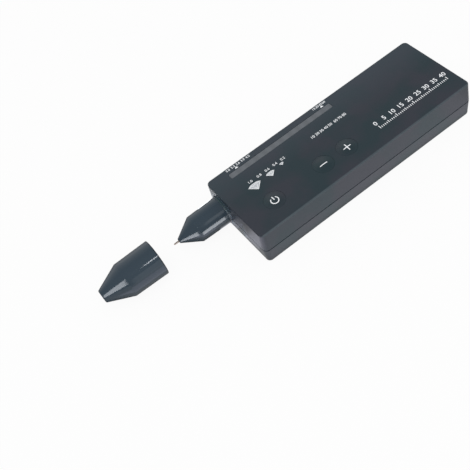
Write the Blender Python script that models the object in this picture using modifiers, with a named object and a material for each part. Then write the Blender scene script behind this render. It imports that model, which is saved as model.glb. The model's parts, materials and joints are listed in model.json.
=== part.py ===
"""Pocket thermal diamond tester with its probe cap pulled off, as separate pieces at real size.

Metres, +Z up. The origin is the centre of the flat back face. +X runs along the case to the probe's tip,
and +Y points to the side of the case that the buttons lie near. Touching pieces keep SEAT_GAP.
"""

import math

import bmesh
import bpy
from mathutils import Vector

# Case
BODY_LENGTH = 0.1200
BODY_WIDTH = 0.0430
BODY_HEIGHT = 0.0194
PARTING_HEIGHT = 0.0088
TOP_DRAFT = 0.0004
BASE_DRAFT = 0.0006
CORNER_RADIUS = 0.0026
CAVITY_CORNER_RADIUS = 0.0008
TOP_EDGE_RADIUS = 0.0007
BASE_EDGE_RADIUS = 0.0010
WALL = 0.0018
TOP_WALL = 0.0018
FLOOR_WALL = 0.0018
LIP_HEIGHT = 0.0010
LIP_THICKNESS = 0.0007

# Fits
SEAT_GAP = 0.0003
WINDOW_CLEARANCE = 0.0002
THREAD_CLEARANCE = 0.0002
OVERRUN = 0.0010

# Case screws, driven up from the back into posts
POST_RADIUS = 0.0030
POST_WALL_GAP = 0.0006
CASE_SCREW_RADIUS = 0.0010
CASE_SCREW_LENGTH = 0.0090
CASE_HEAD_RADIUS = 0.0018
CASE_HEAD_HEIGHT = 0.0013
CASE_HEAD_DEPTH = 0.0024

# Board screws, driven up through the board into standoffs
STANDOFF_RADIUS = 0.0022
STANDOFF_LENGTH = 0.0059
BOARD_SCREW_RADIUS = 0.0008
BOARD_SCREW_LENGTH = 0.0050
BOARD_HEAD_RADIUS = 0.0015
BOARD_HEAD_HEIGHT = 0.0010
CROSS_WIDTH = 0.0005
CROSS_DEPTH = 0.0006
CROSS_SHARE = 0.6
STANDOFF_SHARES = ((0.50, 0.29), (-0.40, -0.58), (-0.80, 0.42))

# Board
BOARD_THICKNESS = 0.0016
BOARD_CLEARANCE = 0.0006
BOARD_TONGUE_WIDTH = 0.0160

# Buttons and their switches
BUTTON_RADIUS = 0.0047
BUTTON_EDGE_RISE = 0.0003
BUTTON_CROWN_RISE = 0.0002
BUTTON_EDGE_RADIUS = 0.0004
BUTTON_FLANGE_WIDTH = 0.0008
BUTTON_FLANGE_THICKNESS = 0.0008
BUTTON_STEM_RADIUS = 0.0016
BUTTON_TRAVEL = 0.0005
BUTTON_FROM_SIDE = 0.0123
POWER_BUTTON_SHARE = 0.720
MINUS_BUTTON_SHARE = 0.265
PLUS_BUTTON_SHARE = 0.042
SWITCH_WIDTH = 0.0060
SWITCH_HEIGHT = 0.0022
SWITCH_EDGE_RADIUS = 0.0003
PLUNGER_RADIUS = 0.0017
PLUNGER_RISE = 0.0013
PLUNGER_WELL_DEPTH = 0.0016

# Light bar
WINDOW_FROM_FRONT = 0.0106
WINDOW_LENGTH = 0.0584
WINDOW_WIDTH = 0.0028
WINDOW_FROM_SIDE = 0.0057
WINDOW_SINK = 0.0001
WINDOW_FLANGE_WIDTH = 0.0008
WINDOW_FLANGE_THICKNESS = 0.0006
LAMP_COUNT = 12
LAMP_WIDTH = 0.0020
LAMP_GAP = 0.0005

# Probe, whose axis lies in the parting plane
PROBE_FROM_SIDE = 0.0099
PROBE_ROOT_RADIUS = 0.0069
PROBE_SHOULDER_RADIUS = 0.0066
PROBE_TIP_RADIUS = 0.0011
PROBE_BARREL_LENGTH = 0.0152
PROBE_CONE_LENGTH = 0.0092
PROBE_EDGE_RADIUS = 0.0003
PROBE_NECK_RADIUS = 0.0061
PROBE_FLANGE_RADIUS = 0.0066
PROBE_FLANGE_LENGTH = 0.0033
PROBE_BORE_RADIUS = 0.0042
PROBE_BORE_END = 0.0022
RETAINER_THICKNESS = 0.0015
RETAINER_WAY_RADIUS = 0.0044
POST_PROBE_GAP = 0.0011

# Sprung needle, its heater and thermistor block and its spring
NEEDLE_RADIUS = 0.0004
NEEDLE_HOLE_CLEARANCE = 0.0002
NEEDLE_TRAVEL = 0.0015
NEEDLE_STANDING = 0.0012
NEEDLE_POINT_RADIUS = 0.0002
NEEDLE_POINT_LENGTH = 0.0007
NEEDLE_COLLAR_LENGTH = 0.0020
SENSOR_RADIUS = 0.0014
SENSOR_LENGTH = 0.0030
PLUG_LENGTH = 0.0046
PLUG_SINK = 0.0006
PLUG_WAY_RADIUS = 0.0014
SPRING_COIL_RADIUS = 0.0027
SPRING_WIRE_RADIUS = 0.00025
SPRING_TURNS = 7

# Cap, shown pulled off along the probe's axis
CAP_MOUTH_RADIUS = 0.00875
CAP_SHOULDER_RADIUS = 0.0085
CAP_TIP_RADIUS = 0.0031
CAP_BARREL_LENGTH = 0.0174
CAP_CONE_LENGTH = 0.0123
CAP_END_WALL = 0.0017
CAP_EDGE_RADIUS = 0.0003
CAP_TIP_EDGE_RADIUS = 0.0007
CAP_INNER_TIP_RADIUS = 0.0019
CAP_PULLED = 0.0361

# Charging inlet
SOCKET_WIDTH = 0.0089
SOCKET_HEIGHT = 0.0032
SOCKET_LENGTH = 0.0073
SOCKET_WALL = 0.0003
SOCKET_CORNER_RADIUS = 0.0012
SOCKET_TONGUE_WIDTH = 0.0066
SOCKET_TONGUE_THICKNESS = 0.0007
SOCKET_TONGUE_LENGTH = 0.0045
SOCKET_BACK_THICKNESS = 0.0015

# Battery, its pad, fence, connector and leads
BATTERY_LENGTH = 0.0400
BATTERY_WIDTH = 0.0200
BATTERY_CLEARANCE = 0.0021
BATTERY_EDGE_RADIUS = 0.0012
BATTERY_PAD_THICKNESS = 0.0008
BATTERY_PAD_MARGIN = 0.0020
BATTERY_SHARE = -0.37
FENCE_THICKNESS = 0.0010
FENCE_CLEARANCE = 0.0005
CONNECTOR_LENGTH = 0.0060
CONNECTOR_WIDTH = 0.0060
CONNECTOR_HEIGHT = 0.0036
CONNECTOR_FROM_BATTERY = 0.0075
LEAD_RADIUS = 0.0006
LEAD_PITCH = 0.0022

# Board components
CHIP_STANDING = 0.0002
CHIP_LEG_WIDTH = 0.0004
CHIP_LEG_REACH = 0.0009
CHIP_LEG_THICKNESS = 0.0005
CONTROLLER_LENGTH = 0.0100
CONTROLLER_WIDTH = 0.0075
CONTROLLER_HEIGHT = 0.0016
CONTROLLER_LEGS = 7
CONTROLLER_SHARES = (-0.17, -0.18)
AMPLIFIER_LENGTH = 0.0050
AMPLIFIER_WIDTH = 0.0040
AMPLIFIER_HEIGHT = 0.0015
AMPLIFIER_LEGS = 4
AMPLIFIER_SHARES = (0.66, -0.32)
CHARGER_LENGTH = 0.0050
CHARGER_WIDTH = 0.0040
CHARGER_HEIGHT = 0.0015
CHARGER_LEGS = 4
CHARGER_SHARES = (-0.66, -0.10)
CAPACITOR_RADIUS = 0.0020
CAPACITOR_HEIGHT = 0.0050
CAPACITOR_EDGE_RADIUS = 0.0003
CAPACITOR_SHARES = (0.42, -0.28)
BUZZER_RADIUS = 0.0045
BUZZER_HEIGHT = 0.0038
BUZZER_EDGE_RADIUS = 0.0003
BUZZER_PORT_RADIUS = 0.0009
BUZZER_PORT_DEPTH = 0.0010
BUZZER_SHARES = (-0.60, -0.55)

# Sensor leads, from the probe's plug to the board
SENSOR_LEAD_RADIUS = 0.0003
SENSOR_LEAD_PITCH = 0.0013
SENSOR_LEAD_REACH = 0.0090
SENSOR_LEAD_SAG = 0.0012

# Facets
ROUND_STEPS = 40
BUTTON_STEPS = 32
SMALL_ROUND_STEPS = 18
SCREW_STEPS = 14
CORNER_STEPS = 5
EDGE_STEPS = 3
FILLET_STEPS = 2
SPRING_STEPS = 10
LEAD_STEPS = 8
TUBE_RESOLUTION = 1
SHARP_ANGLE = math.radians(32)
QUARTER_TURN = math.radians(90)

# Places that follow from the sizes above
LOWER_TOP = PARTING_HEIGHT - SEAT_GAP / 2
UPPER_BOTTOM = PARTING_HEIGHT + SEAT_GAP / 2
CEILING = BODY_HEIGHT - TOP_WALL
BOARD_TOP = CEILING - STANDOFF_LENGTH - SEAT_GAP
BOARD_BOTTOM = BOARD_TOP - BOARD_THICKNESS
ON_BOARD = BOARD_TOP + SEAT_GAP
UNDER_BOARD = BOARD_BOTTOM - SEAT_GAP
UNDER_CEILING = CEILING - SEAT_GAP
NOSE_FACE = BODY_LENGTH / 2
SIDE_FACE = BODY_WIDTH / 2
NOSE_INSIDE = NOSE_FACE - WALL
SIDE_INSIDE = SIDE_FACE - WALL
POST_X = NOSE_INSIDE - POST_WALL_GAP - POST_RADIUS
POST_Y = SIDE_INSIDE - POST_WALL_GAP - POST_RADIUS
PROBE_Y = PROBE_FROM_SIDE - SIDE_FACE
PROBE_POST_Y = PROBE_Y + PROBE_FLANGE_RADIUS + POST_PROBE_GAP + POST_RADIUS
POST_PLACES = ((POST_X, POST_Y), (POST_X, PROBE_POST_Y), (-POST_X, POST_Y), (-POST_X, -POST_Y))
BOARD_HALF_LENGTH = POST_X - POST_RADIUS - BOARD_CLEARANCE
BOARD_HALF_WIDTH = SIDE_INSIDE - TOP_DRAFT - BOARD_CLEARANCE
BOARD_TONGUE_END = NOSE_INSIDE - BOARD_CLEARANCE
STANDOFF_PLACES = [(across * BOARD_HALF_LENGTH, up * BOARD_HALF_WIDTH) for across, up in STANDOFF_SHARES]
WINDOW_X = NOSE_FACE - WINDOW_FROM_FRONT - WINDOW_LENGTH / 2
WINDOW_Y = WINDOW_FROM_SIDE - SIDE_FACE
WINDOW_FLANGE_BOTTOM = UNDER_CEILING - WINDOW_FLANGE_THICKNESS
BUTTON_Y = SIDE_FACE - BUTTON_FROM_SIDE
BUTTON_X = {
    "power": POWER_BUTTON_SHARE * NOSE_FACE,
    "minus": MINUS_BUTTON_SHARE * NOSE_FACE,
    "plus": PLUS_BUTTON_SHARE * NOSE_FACE,
}
SWITCH_TOP = ON_BOARD + SWITCH_HEIGHT
PLUNGER_TOP = SWITCH_TOP + PLUNGER_RISE
BUTTON_FLANGE_RADIUS = BUTTON_RADIUS + SEAT_GAP + BUTTON_FLANGE_WIDTH
PROBE_NECK_FRONT = NOSE_FACE + SEAT_GAP
PROBE_NECK_REAR = NOSE_INSIDE - SEAT_GAP
PROBE_REAR = PROBE_NECK_REAR - PROBE_FLANGE_LENGTH
PROBE_SHOULDER = NOSE_FACE + PROBE_BARREL_LENGTH
PROBE_TIP = PROBE_SHOULDER + PROBE_CONE_LENGTH
PROBE_BORE_FRONT = PROBE_SHOULDER - PROBE_BORE_END
PROBE_HOLE_RADIUS = PROBE_NECK_RADIUS + SEAT_GAP
NEEDLE_HOLE_RADIUS = NEEDLE_RADIUS + NEEDLE_HOLE_CLEARANCE
NEEDLE_TIP = PROBE_TIP + NEEDLE_STANDING + NEEDLE_TRAVEL
COLLAR_RADIUS = PROBE_BORE_RADIUS - SEAT_GAP
COLLAR_FRONT = PROBE_BORE_FRONT - SEAT_GAP
COLLAR_REAR = COLLAR_FRONT - NEEDLE_COLLAR_LENGTH
SENSOR_FRONT = COLLAR_REAR - SEAT_GAP
PLUG_REAR = PROBE_REAR + PLUG_SINK
PLUG_FRONT = PLUG_REAR + PLUG_LENGTH
SPRING_REAR = PLUG_FRONT + SEAT_GAP + SPRING_WIRE_RADIUS
SPRING_FRONT = COLLAR_REAR - SEAT_GAP - SPRING_WIRE_RADIUS
CAP_MOUTH = PROBE_NECK_FRONT + CAP_PULLED
CAP_SHOULDER = CAP_MOUTH + CAP_BARREL_LENGTH
CAP_TIP = CAP_SHOULDER + CAP_CONE_LENGTH
CAP_INNER_RADIUS = PROBE_ROOT_RADIUS + SEAT_GAP
BATTERY_X = BATTERY_SHARE * NOSE_FACE
BATTERY_BOTTOM = FLOOR_WALL + BATTERY_PAD_THICKNESS + 2 * SEAT_GAP
BATTERY_THICKNESS = BOARD_BOTTOM - BATTERY_CLEARANCE - BATTERY_BOTTOM
BATTERY_FRONT = BATTERY_X + BATTERY_LENGTH / 2
BATTERY_LEAD_START = BATTERY_BOTTOM + BATTERY_THICKNESS / 2
FENCE_TOP = BATTERY_LEAD_START - LEAD_RADIUS - SEAT_GAP
CONNECTOR_X = BATTERY_FRONT + CONNECTOR_FROM_BATTERY + CONNECTOR_LENGTH / 2
SOCKET_MOUTH = NOSE_FACE - SEAT_GAP


def clear_scene():
    for item in list(bpy.data.objects):
        bpy.data.objects.remove(item, do_unlink=True)


def new_collection(name, parent=None):
    group = bpy.data.collections.new(name)
    (parent or bpy.context.scene.collection).children.link(group)
    return group


def plastic(name, colour, roughness, metallic=0.0):
    finish = bpy.data.materials.new(name)
    finish.use_nodes = True
    shader = finish.node_tree.nodes["Principled BSDF"]
    shader.inputs["Base Color"].default_value = (*colour, 1.0)
    shader.inputs["Roughness"].default_value = roughness
    shader.inputs["Metallic"].default_value = metallic
    return finish


def place(name, data, where, finish=None, parent=None, turn=(0, 0, 0)):
    """Links a new object for a mesh or curve: a part where it has a finish, a cutter where it has none."""
    item = bpy.data.objects.new(name, data)
    item.location = where
    item.rotation_euler = turn
    item.parent = parent
    if finish:
        parts.objects.link(item)
        data.materials.clear()
        data.materials.append(finish)
    else:
        cutters.objects.link(item)
        item.hide_render = True
        item.display_type = "WIRE"
    return item


def mesh_of(name, form):
    """Stores a bmesh as a mesh that is smooth but for its sharp edges."""
    mesh = bpy.data.meshes.new(name)
    form.to_mesh(mesh)
    form.free()
    mesh.shade_smooth()
    mesh.set_sharp_from_angle(angle=SHARP_ANGLE)
    return mesh


def settled(item):
    """Replaces an object's mesh by what its modifiers make of it, so that copies can share it."""
    bpy.context.view_layer.update()
    graph = bpy.context.evaluated_depsgraph_get()
    mesh = bpy.data.meshes.new_from_object(item.evaluated_get(graph))
    mesh.shade_smooth()
    mesh.set_sharp_from_angle(angle=SHARP_ANGLE)
    item.modifiers.clear()
    item.data = mesh
    return item


def combine(item, operation, tools):
    """Adds one Boolean that joins or cuts with all of these tools."""
    group = new_collection(f"{item.name}_{operation.lower()}_{len(item.modifiers)}", cutters)
    for tool in tools:
        cutters.objects.unlink(tool)
        group.objects.link(tool)
    modifier = item.modifiers.new(operation.lower(), "BOOLEAN")
    modifier.operation = operation
    modifier.solver = "EXACT"
    modifier.operand_type = "COLLECTION"
    modifier.collection = group


def join(item, *tools):
    combine(item, "UNION", tools)


def cut(item, *tools):
    combine(item, "DIFFERENCE", tools)


def box_mesh(name, length, width, height, edge=0):
    """A box standing on the origin, with its edges rounded where an edge radius is given."""
    form = bmesh.new()
    bmesh.ops.create_cube(form, size=1)
    for vertex in form.verts:
        vertex.co.x *= length
        vertex.co.y *= width
        vertex.co.z = height if vertex.co.z > 0 else 0
    if edge:
        bmesh.ops.bevel(form, geom=form.edges[:], offset=edge, segments=2, profile=0.5, affect="EDGES")
    return mesh_of(name, form)


def box(name, length, width, height, where, finish=None, edge=0, parent=None):
    return place(name, box_mesh(name, length, width, height, edge), where, finish, parent)


def rod(name, radius, length, where, finish=None, turn=(0, 0, 0), steps=SMALL_ROUND_STEPS):
    """A cylinder that stands on its place, or runs from it along +X when it is turned by AHEAD."""
    form = bmesh.new()
    bmesh.ops.create_cone(form, cap_ends=True, segments=steps, radius1=radius, radius2=radius, depth=length)
    bmesh.ops.translate(form, verts=form.verts[:], vec=(0, 0, length / 2))
    return place(name, mesh_of(name, form), where, finish, None, turn)


AHEAD = (0, QUARTER_TURN, 0)


def shell_block(name, low, high, low_inset, high_inset, corner, low_edge=0, high_edge=0, finish=None):
    """The case's outline, drawn in by an inset at its lower and upper face, with upright corners rounded."""
    form = bmesh.new()
    bmesh.ops.create_cube(form, size=1)
    for vertex in form.verts:
        inset = high_inset if vertex.co.z > 0 else low_inset
        vertex.co.x *= BODY_LENGTH - 2 * inset
        vertex.co.y *= BODY_WIDTH - 2 * inset
        vertex.co.z = high if vertex.co.z > 0 else low
    middle = (low + high) / 2
    above = {edge: [end.co.z > middle for end in edge.verts] for edge in form.edges}
    upright = [edge for edge, ends in above.items() if ends[0] != ends[1]]
    bmesh.ops.bevel(form, geom=upright, offset=corner, segments=CORNER_STEPS, profile=0.5, affect="EDGES")
    for wanted, radius in ((True, high_edge), (False, low_edge)):
        if radius:
            rim = [edge for edge in form.edges if all((end.co.z > middle) == wanted for end in edge.verts)]
            bmesh.ops.bevel(form, geom=rim, offset=radius, segments=EDGE_STEPS, profile=0.5, affect="EDGES")
    return place(name, mesh_of(name, form), (0, 0, 0), finish)


def outline_mesh(name, outline, thickness):
    """A flat outline given a thickness about its own plane."""
    curve = bpy.data.curves.new(name, "CURVE")
    curve.dimensions = "2D"
    curve.fill_mode = "BOTH"
    curve.extrude = thickness / 2
    spline = curve.splines.new("POLY")
    spline.points.add(len(outline) - 1)
    for point, (x, y) in zip(spline.points, outline):
        point.co = (x, y, 0, 1)
    spline.use_cyclic_u = True
    guide = bpy.data.objects.new(name, curve)
    bpy.context.scene.collection.objects.link(guide)
    bpy.context.view_layer.update()
    flat = bpy.data.meshes.new_from_object(guide.evaluated_get(bpy.context.evaluated_depsgraph_get()))
    form = bmesh.new()
    form.from_mesh(flat)
    bmesh.ops.remove_doubles(form, verts=form.verts[:], dist=SEAT_GAP / 10)
    bpy.data.objects.remove(guide, do_unlink=True)
    return mesh_of(name, form)


def rounded_outline(length, width, radius):
    """A rectangle with round corners, or a slot with round ends where the radius is half the width."""
    points = []
    for turn, (across, up) in enumerate(((1, 1), (-1, 1), (-1, -1), (1, -1))):
        centre = Vector((across * (length / 2 - radius), up * (width / 2 - radius)))
        for step in range(CORNER_STEPS + 1):
            angle = QUARTER_TURN * (turn + step / CORNER_STEPS)
            points.append(centre + radius * Vector((math.cos(angle), math.sin(angle))))
    return points


def slot_outline(length, width, margin=0):
    """A long slot with round ends, grown all round by a margin."""
    radius = width / 2 + margin
    centre = Vector(((length - width) / 2, 0))
    points = []
    for side in (1, -1):
        for step in range(2 * CORNER_STEPS + 1):
            angle = QUARTER_TURN * (step / CORNER_STEPS - 1)
            arm = radius * Vector((math.cos(angle), math.sin(angle)))
            points.append(side * (centre + arm))
    return points


def filleted(corners, closed):
    """Points of a turned profile from (along, radius, fillet) corners, with each fillet as an arc."""
    points = []
    for index, (along, radius, fillet) in enumerate(corners):
        here = Vector((along, radius))
        ends = index in (0, len(corners) - 1) and not closed
        if ends or not fillet:
            points.append(here)
            continue
        before = Vector(corners[index - 1][:2]) - here
        after = Vector(corners[(index + 1) % len(corners)][:2]) - here
        half = before.angle(after) / 2
        reach = min(fillet / math.tan(half), before.length / 2, after.length / 2)
        start = before.normalized() * reach
        end = after.normalized() * reach
        centre = (before.normalized() + after.normalized()).normalized() * reach / math.cos(half)
        arm = start - centre
        for step in range(FILLET_STEPS + 1):
            swung = arm.slerp(end - centre, step / FILLET_STEPS).normalized()
            points.append(here + centre + swung * arm.length)
    return points


def turned(name, corners, where, finish, closed=False, steps=ROUND_STEPS, parent=None):
    """A shape turned about its local Z from (along, radius, fillet) corners that run down the outside."""
    points = filleted(corners, closed)
    form = bmesh.new()
    ring = [form.verts.new((radius, 0, along)) for along, radius in points]
    for first, second in zip(ring, ring[1:] + ring[:1] if closed else ring[1:]):
        form.edges.new((first, second))
    profile = bpy.data.meshes.new(name)
    form.to_mesh(profile)
    form.free()
    item = place(name, profile, where, finish, parent)
    modifier = item.modifiers.new("turn", "SCREW")
    modifier.steps = steps
    modifier.render_steps = steps
    modifier.use_merge_vertices = True
    modifier.merge_threshold = SEAT_GAP / 10
    return settled(item)


def tube(name, points, radius, finish, parent=None):
    """A wire along these points, with closed ends."""
    curve = bpy.data.curves.new(name, "CURVE")
    curve.dimensions = "3D"
    curve.bevel_depth = radius
    curve.bevel_resolution = TUBE_RESOLUTION
    curve.use_fill_caps = True
    spline = curve.splines.new("POLY")
    spline.points.add(len(points) - 1)
    for spot, point in zip(spline.points, points):
        spot.co = (*point, 1)
    return place(name, curve, (0, 0, 0), finish, parent)


def eased(start, end, steps=LEAD_STEPS):
    """Points of a lead that leaves and arrives level, easing over in between."""
    points = []
    for step in range(steps + 1):
        share = step / steps
        point = Vector(start).lerp(Vector(end), share * share * (3 - 2 * share))
        point.x = start[0] + share * (end[0] - start[0])
        points.append(point)
    return points


def rods_at(places, name, radius, low, high):
    """Upright cylinders of one size, one at each of these places."""
    length = high - low
    return [rod(f"{name}_{index}", radius, length, (x, y, low)) for index, (x, y) in enumerate(places)]


def board_place(shares):
    return (shares[0] * BOARD_HALF_LENGTH, shares[1] * BOARD_HALF_WIDTH)


def probe_hole(name):
    """The round way through the front wall that the probe's neck sits in."""
    start = PROBE_NECK_REAR
    length = NOSE_FACE + OVERRUN - start
    where = (start, PROBE_Y, PARTING_HEIGHT)
    return rod(name, PROBE_HOLE_RADIUS, length, where, None, AHEAD, ROUND_STEPS)


def flange_pocket(name):
    """Room behind the front wall for the probe's flange, square to the probe where the wall leans."""
    start = PROBE_REAR - SEAT_GAP
    radius = PROBE_FLANGE_RADIUS + SEAT_GAP
    where = (start, PROBE_Y, PARTING_HEIGHT)
    return rod(name, radius, NOSE_INSIDE - start, where, None, AHEAD, ROUND_STEPS)


def inlet_hole(name):
    """The way through the tail wall for the charging inlet."""
    outline = rounded_outline(
        SOCKET_WIDTH + 2 * SEAT_GAP, SOCKET_HEIGHT + 2 * SEAT_GAP, SOCKET_CORNER_RADIUS + SEAT_GAP
    )
    mesh = outline_mesh(name, outline, WALL + 2 * OVERRUN)
    where = (-NOSE_INSIDE - WALL / 2, 0, ON_BOARD + SOCKET_HEIGHT / 2)
    return place(name, mesh, where, turn=(QUARTER_TURN, 0, QUARTER_TURN))


def retainer(name, low, high):
    """A rib across the case behind the probe's flange."""
    rear = PROBE_REAR - SEAT_GAP - RETAINER_THICKNESS
    side = SIDE_FACE - WALL / 2 - BASE_DRAFT
    width = PROBE_POST_Y + side
    middle = (PROBE_POST_Y - side) / 2
    return box(name, RETAINER_THICKNESS, width, high - low, (rear + RETAINER_THICKNESS / 2, middle, low))


def retainer_way(name):
    """The round way through the rib that the sensor's leads pass."""
    rear = PROBE_REAR - SEAT_GAP - RETAINER_THICKNESS - OVERRUN
    length = RETAINER_THICKNESS + 2 * OVERRUN
    return rod(name, RETAINER_WAY_RADIUS, length, (rear, PROBE_Y, PARTING_HEIGHT), None, AHEAD)


def make_lower_shell():
    shell = shell_block(
        "lower_shell", 0, LOWER_TOP, BASE_DRAFT, 0, CORNER_RADIUS, BASE_EDGE_RADIUS, 0, CASE_PLASTIC
    )
    lip_inset = WALL - LIP_THICKNESS
    lip_top = PARTING_HEIGHT + LIP_HEIGHT
    lip = shell_block("lip", FLOOR_WALL, lip_top, lip_inset + BASE_DRAFT, lip_inset, CAVITY_CORNER_RADIUS)
    cavity = shell_block(
        "lower_cavity", FLOOR_WALL, lip_top + OVERRUN, WALL + BASE_DRAFT, WALL, CAVITY_CORNER_RADIUS
    )
    join(shell, lip)
    cut(shell, cavity)
    in_floor = FLOOR_WALL / 2
    fence_half_length = BATTERY_LENGTH / 2 + FENCE_CLEARANCE + FENCE_THICKNESS / 2
    fence_half_width = BATTERY_WIDTH / 2 + FENCE_CLEARANCE + FENCE_THICKNESS / 2
    fence_rise = FENCE_TOP - in_floor
    fence = []
    for side in (-1, 1):
        long_rail = (2 * fence_half_length + FENCE_THICKNESS, FENCE_THICKNESS, fence_rise)
        short_rail = (FENCE_THICKNESS, 2 * fence_half_width, fence_rise)
        long_place = (BATTERY_X, side * fence_half_width, in_floor)
        fence.append(box(f"fence_long_{side}", *long_rail, long_place))
        short_place = (BATTERY_X + side * fence_half_length, 0, in_floor)
        fence.append(box(f"fence_short_{side}", *short_rail, short_place))
    posts = rods_at(POST_PLACES, "lower_post", POST_RADIUS, in_floor, LOWER_TOP)
    join(shell, *posts, retainer("lower_retainer", in_floor, LOWER_TOP), *fence)
    head_seat = CASE_HEAD_DEPTH + CASE_HEAD_HEIGHT + SEAT_GAP
    heads = rods_at(POST_PLACES, "head_hole", CASE_HEAD_RADIUS + SEAT_GAP, -OVERRUN, head_seat)
    shank_top = LOWER_TOP + OVERRUN
    shanks = rods_at(POST_PLACES, "shank_hole", CASE_SCREW_RADIUS + SEAT_GAP, in_floor, shank_top)
    ways = (
        inlet_hole("lower_inlet_hole"),
        probe_hole("lower_probe_hole"),
        flange_pocket("lower_flange_pocket"),
        retainer_way("lower_retainer_way"),
    )
    cut(shell, *heads, *shanks, *ways)


def make_upper_shell():
    shell = shell_block(
        "upper_shell",
        UPPER_BOTTOM,
        BODY_HEIGHT,
        0,
        TOP_DRAFT,
        CORNER_RADIUS,
        0,
        TOP_EDGE_RADIUS,
        CASE_PLASTIC,
    )
    cavity = shell_block(
        "upper_cavity", PARTING_HEIGHT - OVERRUN, CEILING, WALL, WALL + TOP_DRAFT, CAVITY_CORNER_RADIUS
    )
    cut(shell, cavity)
    in_ceiling = CEILING + TOP_WALL / 2
    standoff_low = CEILING - STANDOFF_LENGTH
    standoffs = rods_at(STANDOFF_PLACES, "standoff", STANDOFF_RADIUS, standoff_low, in_ceiling)
    posts = rods_at(POST_PLACES, "upper_post", POST_RADIUS, UPPER_BOTTOM, in_ceiling)
    join(shell, *posts, *standoffs, retainer("upper_retainer", UPPER_BOTTOM, in_ceiling))
    outer_inset = WALL - LIP_THICKNESS - SEAT_GAP
    rebate_top = PARTING_HEIGHT + LIP_HEIGHT + SEAT_GAP
    rebate = shell_block(
        "lip_rebate", PARTING_HEIGHT - OVERRUN, rebate_top, outer_inset, outer_inset, CAVITY_CORNER_RADIUS
    )
    inner_inset = WALL + SEAT_GAP
    core = shell_block(
        "lip_rebate_core",
        PARTING_HEIGHT - 2 * OVERRUN,
        rebate_top + OVERRUN,
        inner_inset,
        inner_inset,
        CAVITY_CORNER_RADIUS,
    )
    cut(rebate, core)
    pilot_radius = CASE_SCREW_RADIUS + THREAD_CLEARANCE
    pilot_top = CASE_HEAD_DEPTH + CASE_HEAD_HEIGHT + CASE_SCREW_LENGTH + SEAT_GAP
    pilots = rods_at(POST_PLACES, "pilot", pilot_radius, UPPER_BOTTOM - OVERRUN, pilot_top)
    board_pilot_radius = BOARD_SCREW_RADIUS + THREAD_CLEARANCE
    board_pilot_low = standoff_low - OVERRUN
    board_pilot_top = UNDER_BOARD + BOARD_SCREW_LENGTH + SEAT_GAP
    board_pilots = rods_at(
        STANDOFF_PLACES, "board_pilot", board_pilot_radius, board_pilot_low, board_pilot_top
    )
    ways = [
        rod(
            f"{name}_button_hole",
            BUTTON_RADIUS + SEAT_GAP,
            TOP_WALL + 2 * OVERRUN,
            (x, BUTTON_Y, CEILING - OVERRUN),
            steps=BUTTON_STEPS,
        )
        for name, x in BUTTON_X.items()
    ]
    slot = outline_mesh(
        "window_slot", slot_outline(WINDOW_LENGTH, WINDOW_WIDTH, WINDOW_CLEARANCE), TOP_WALL + 2 * OVERRUN
    )
    ways.append(place("window_slot", slot, (WINDOW_X, WINDOW_Y, CEILING + TOP_WALL / 2)))
    cut(
        shell,
        rebate,
        *pilots,
        *board_pilots,
        *ways,
        inlet_hole("upper_inlet_hole"),
        probe_hole("upper_probe_hole"),
        flange_pocket("upper_flange_pocket"),
        retainer_way("upper_retainer_way"),
    )


def screw_mesh(name, head_radius, head_height, radius, length):
    """A pan-head screw with a cross recess, its head's face at the origin and its shank running up."""
    corners = (
        (head_height + length, 0, 0),
        (head_height + length, radius, 0),
        (head_height, radius, 0),
        (head_height, head_radius, 0),
        (0, head_radius, head_height / 3),
        (0, 0, 0),
    )
    screw = turned(name, corners, (0, 0, 0), STEEL, steps=SCREW_STEPS)
    reach = 2 * CROSS_SHARE * head_radius
    arms = [
        box(f"{name}_cross_{index}", *sides, CROSS_DEPTH + OVERRUN, (0, 0, -OVERRUN))
        for index, sides in enumerate(((reach, CROSS_WIDTH), (CROSS_WIDTH, reach)))
    ]
    cut(screw, *arms)
    mesh = settled(screw).data
    bpy.data.objects.remove(screw, do_unlink=True)
    return mesh


def make_screws():
    mesh = screw_mesh("case_screw", CASE_HEAD_RADIUS, CASE_HEAD_HEIGHT, CASE_SCREW_RADIUS, CASE_SCREW_LENGTH)
    for index, (x, y) in enumerate(POST_PLACES, 1):
        place(f"case_screw_{index}", mesh, (x, y, CASE_HEAD_DEPTH), STEEL)
    mesh = screw_mesh(
        "board_screw", BOARD_HEAD_RADIUS, BOARD_HEAD_HEIGHT, BOARD_SCREW_RADIUS, BOARD_SCREW_LENGTH
    )
    for index, (x, y) in enumerate(STANDOFF_PLACES, 1):
        place(f"board_screw_{index}", mesh, (x, y, UNDER_BOARD - BOARD_HEAD_HEIGHT), STEEL)


def make_board():
    board = box(
        "circuit_board",
        2 * BOARD_HALF_LENGTH,
        2 * BOARD_HALF_WIDTH,
        BOARD_THICKNESS,
        (0, 0, BOARD_BOTTOM),
        BOARD_GREEN,
    )
    tongue_length = BOARD_TONGUE_END - BOARD_HALF_LENGTH + OVERRUN
    tongue = box(
        "board_tongue",
        tongue_length,
        BOARD_TONGUE_WIDTH,
        BOARD_THICKNESS,
        (-BOARD_TONGUE_END + tongue_length / 2, 0, BOARD_BOTTOM),
    )
    join(board, tongue)
    hole_radius = BOARD_SCREW_RADIUS + SEAT_GAP
    hole_low = BOARD_BOTTOM - OVERRUN
    cut(board, *rods_at(STANDOFF_PLACES, "board_hole", hole_radius, hole_low, BOARD_TOP + OVERRUN))


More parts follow.
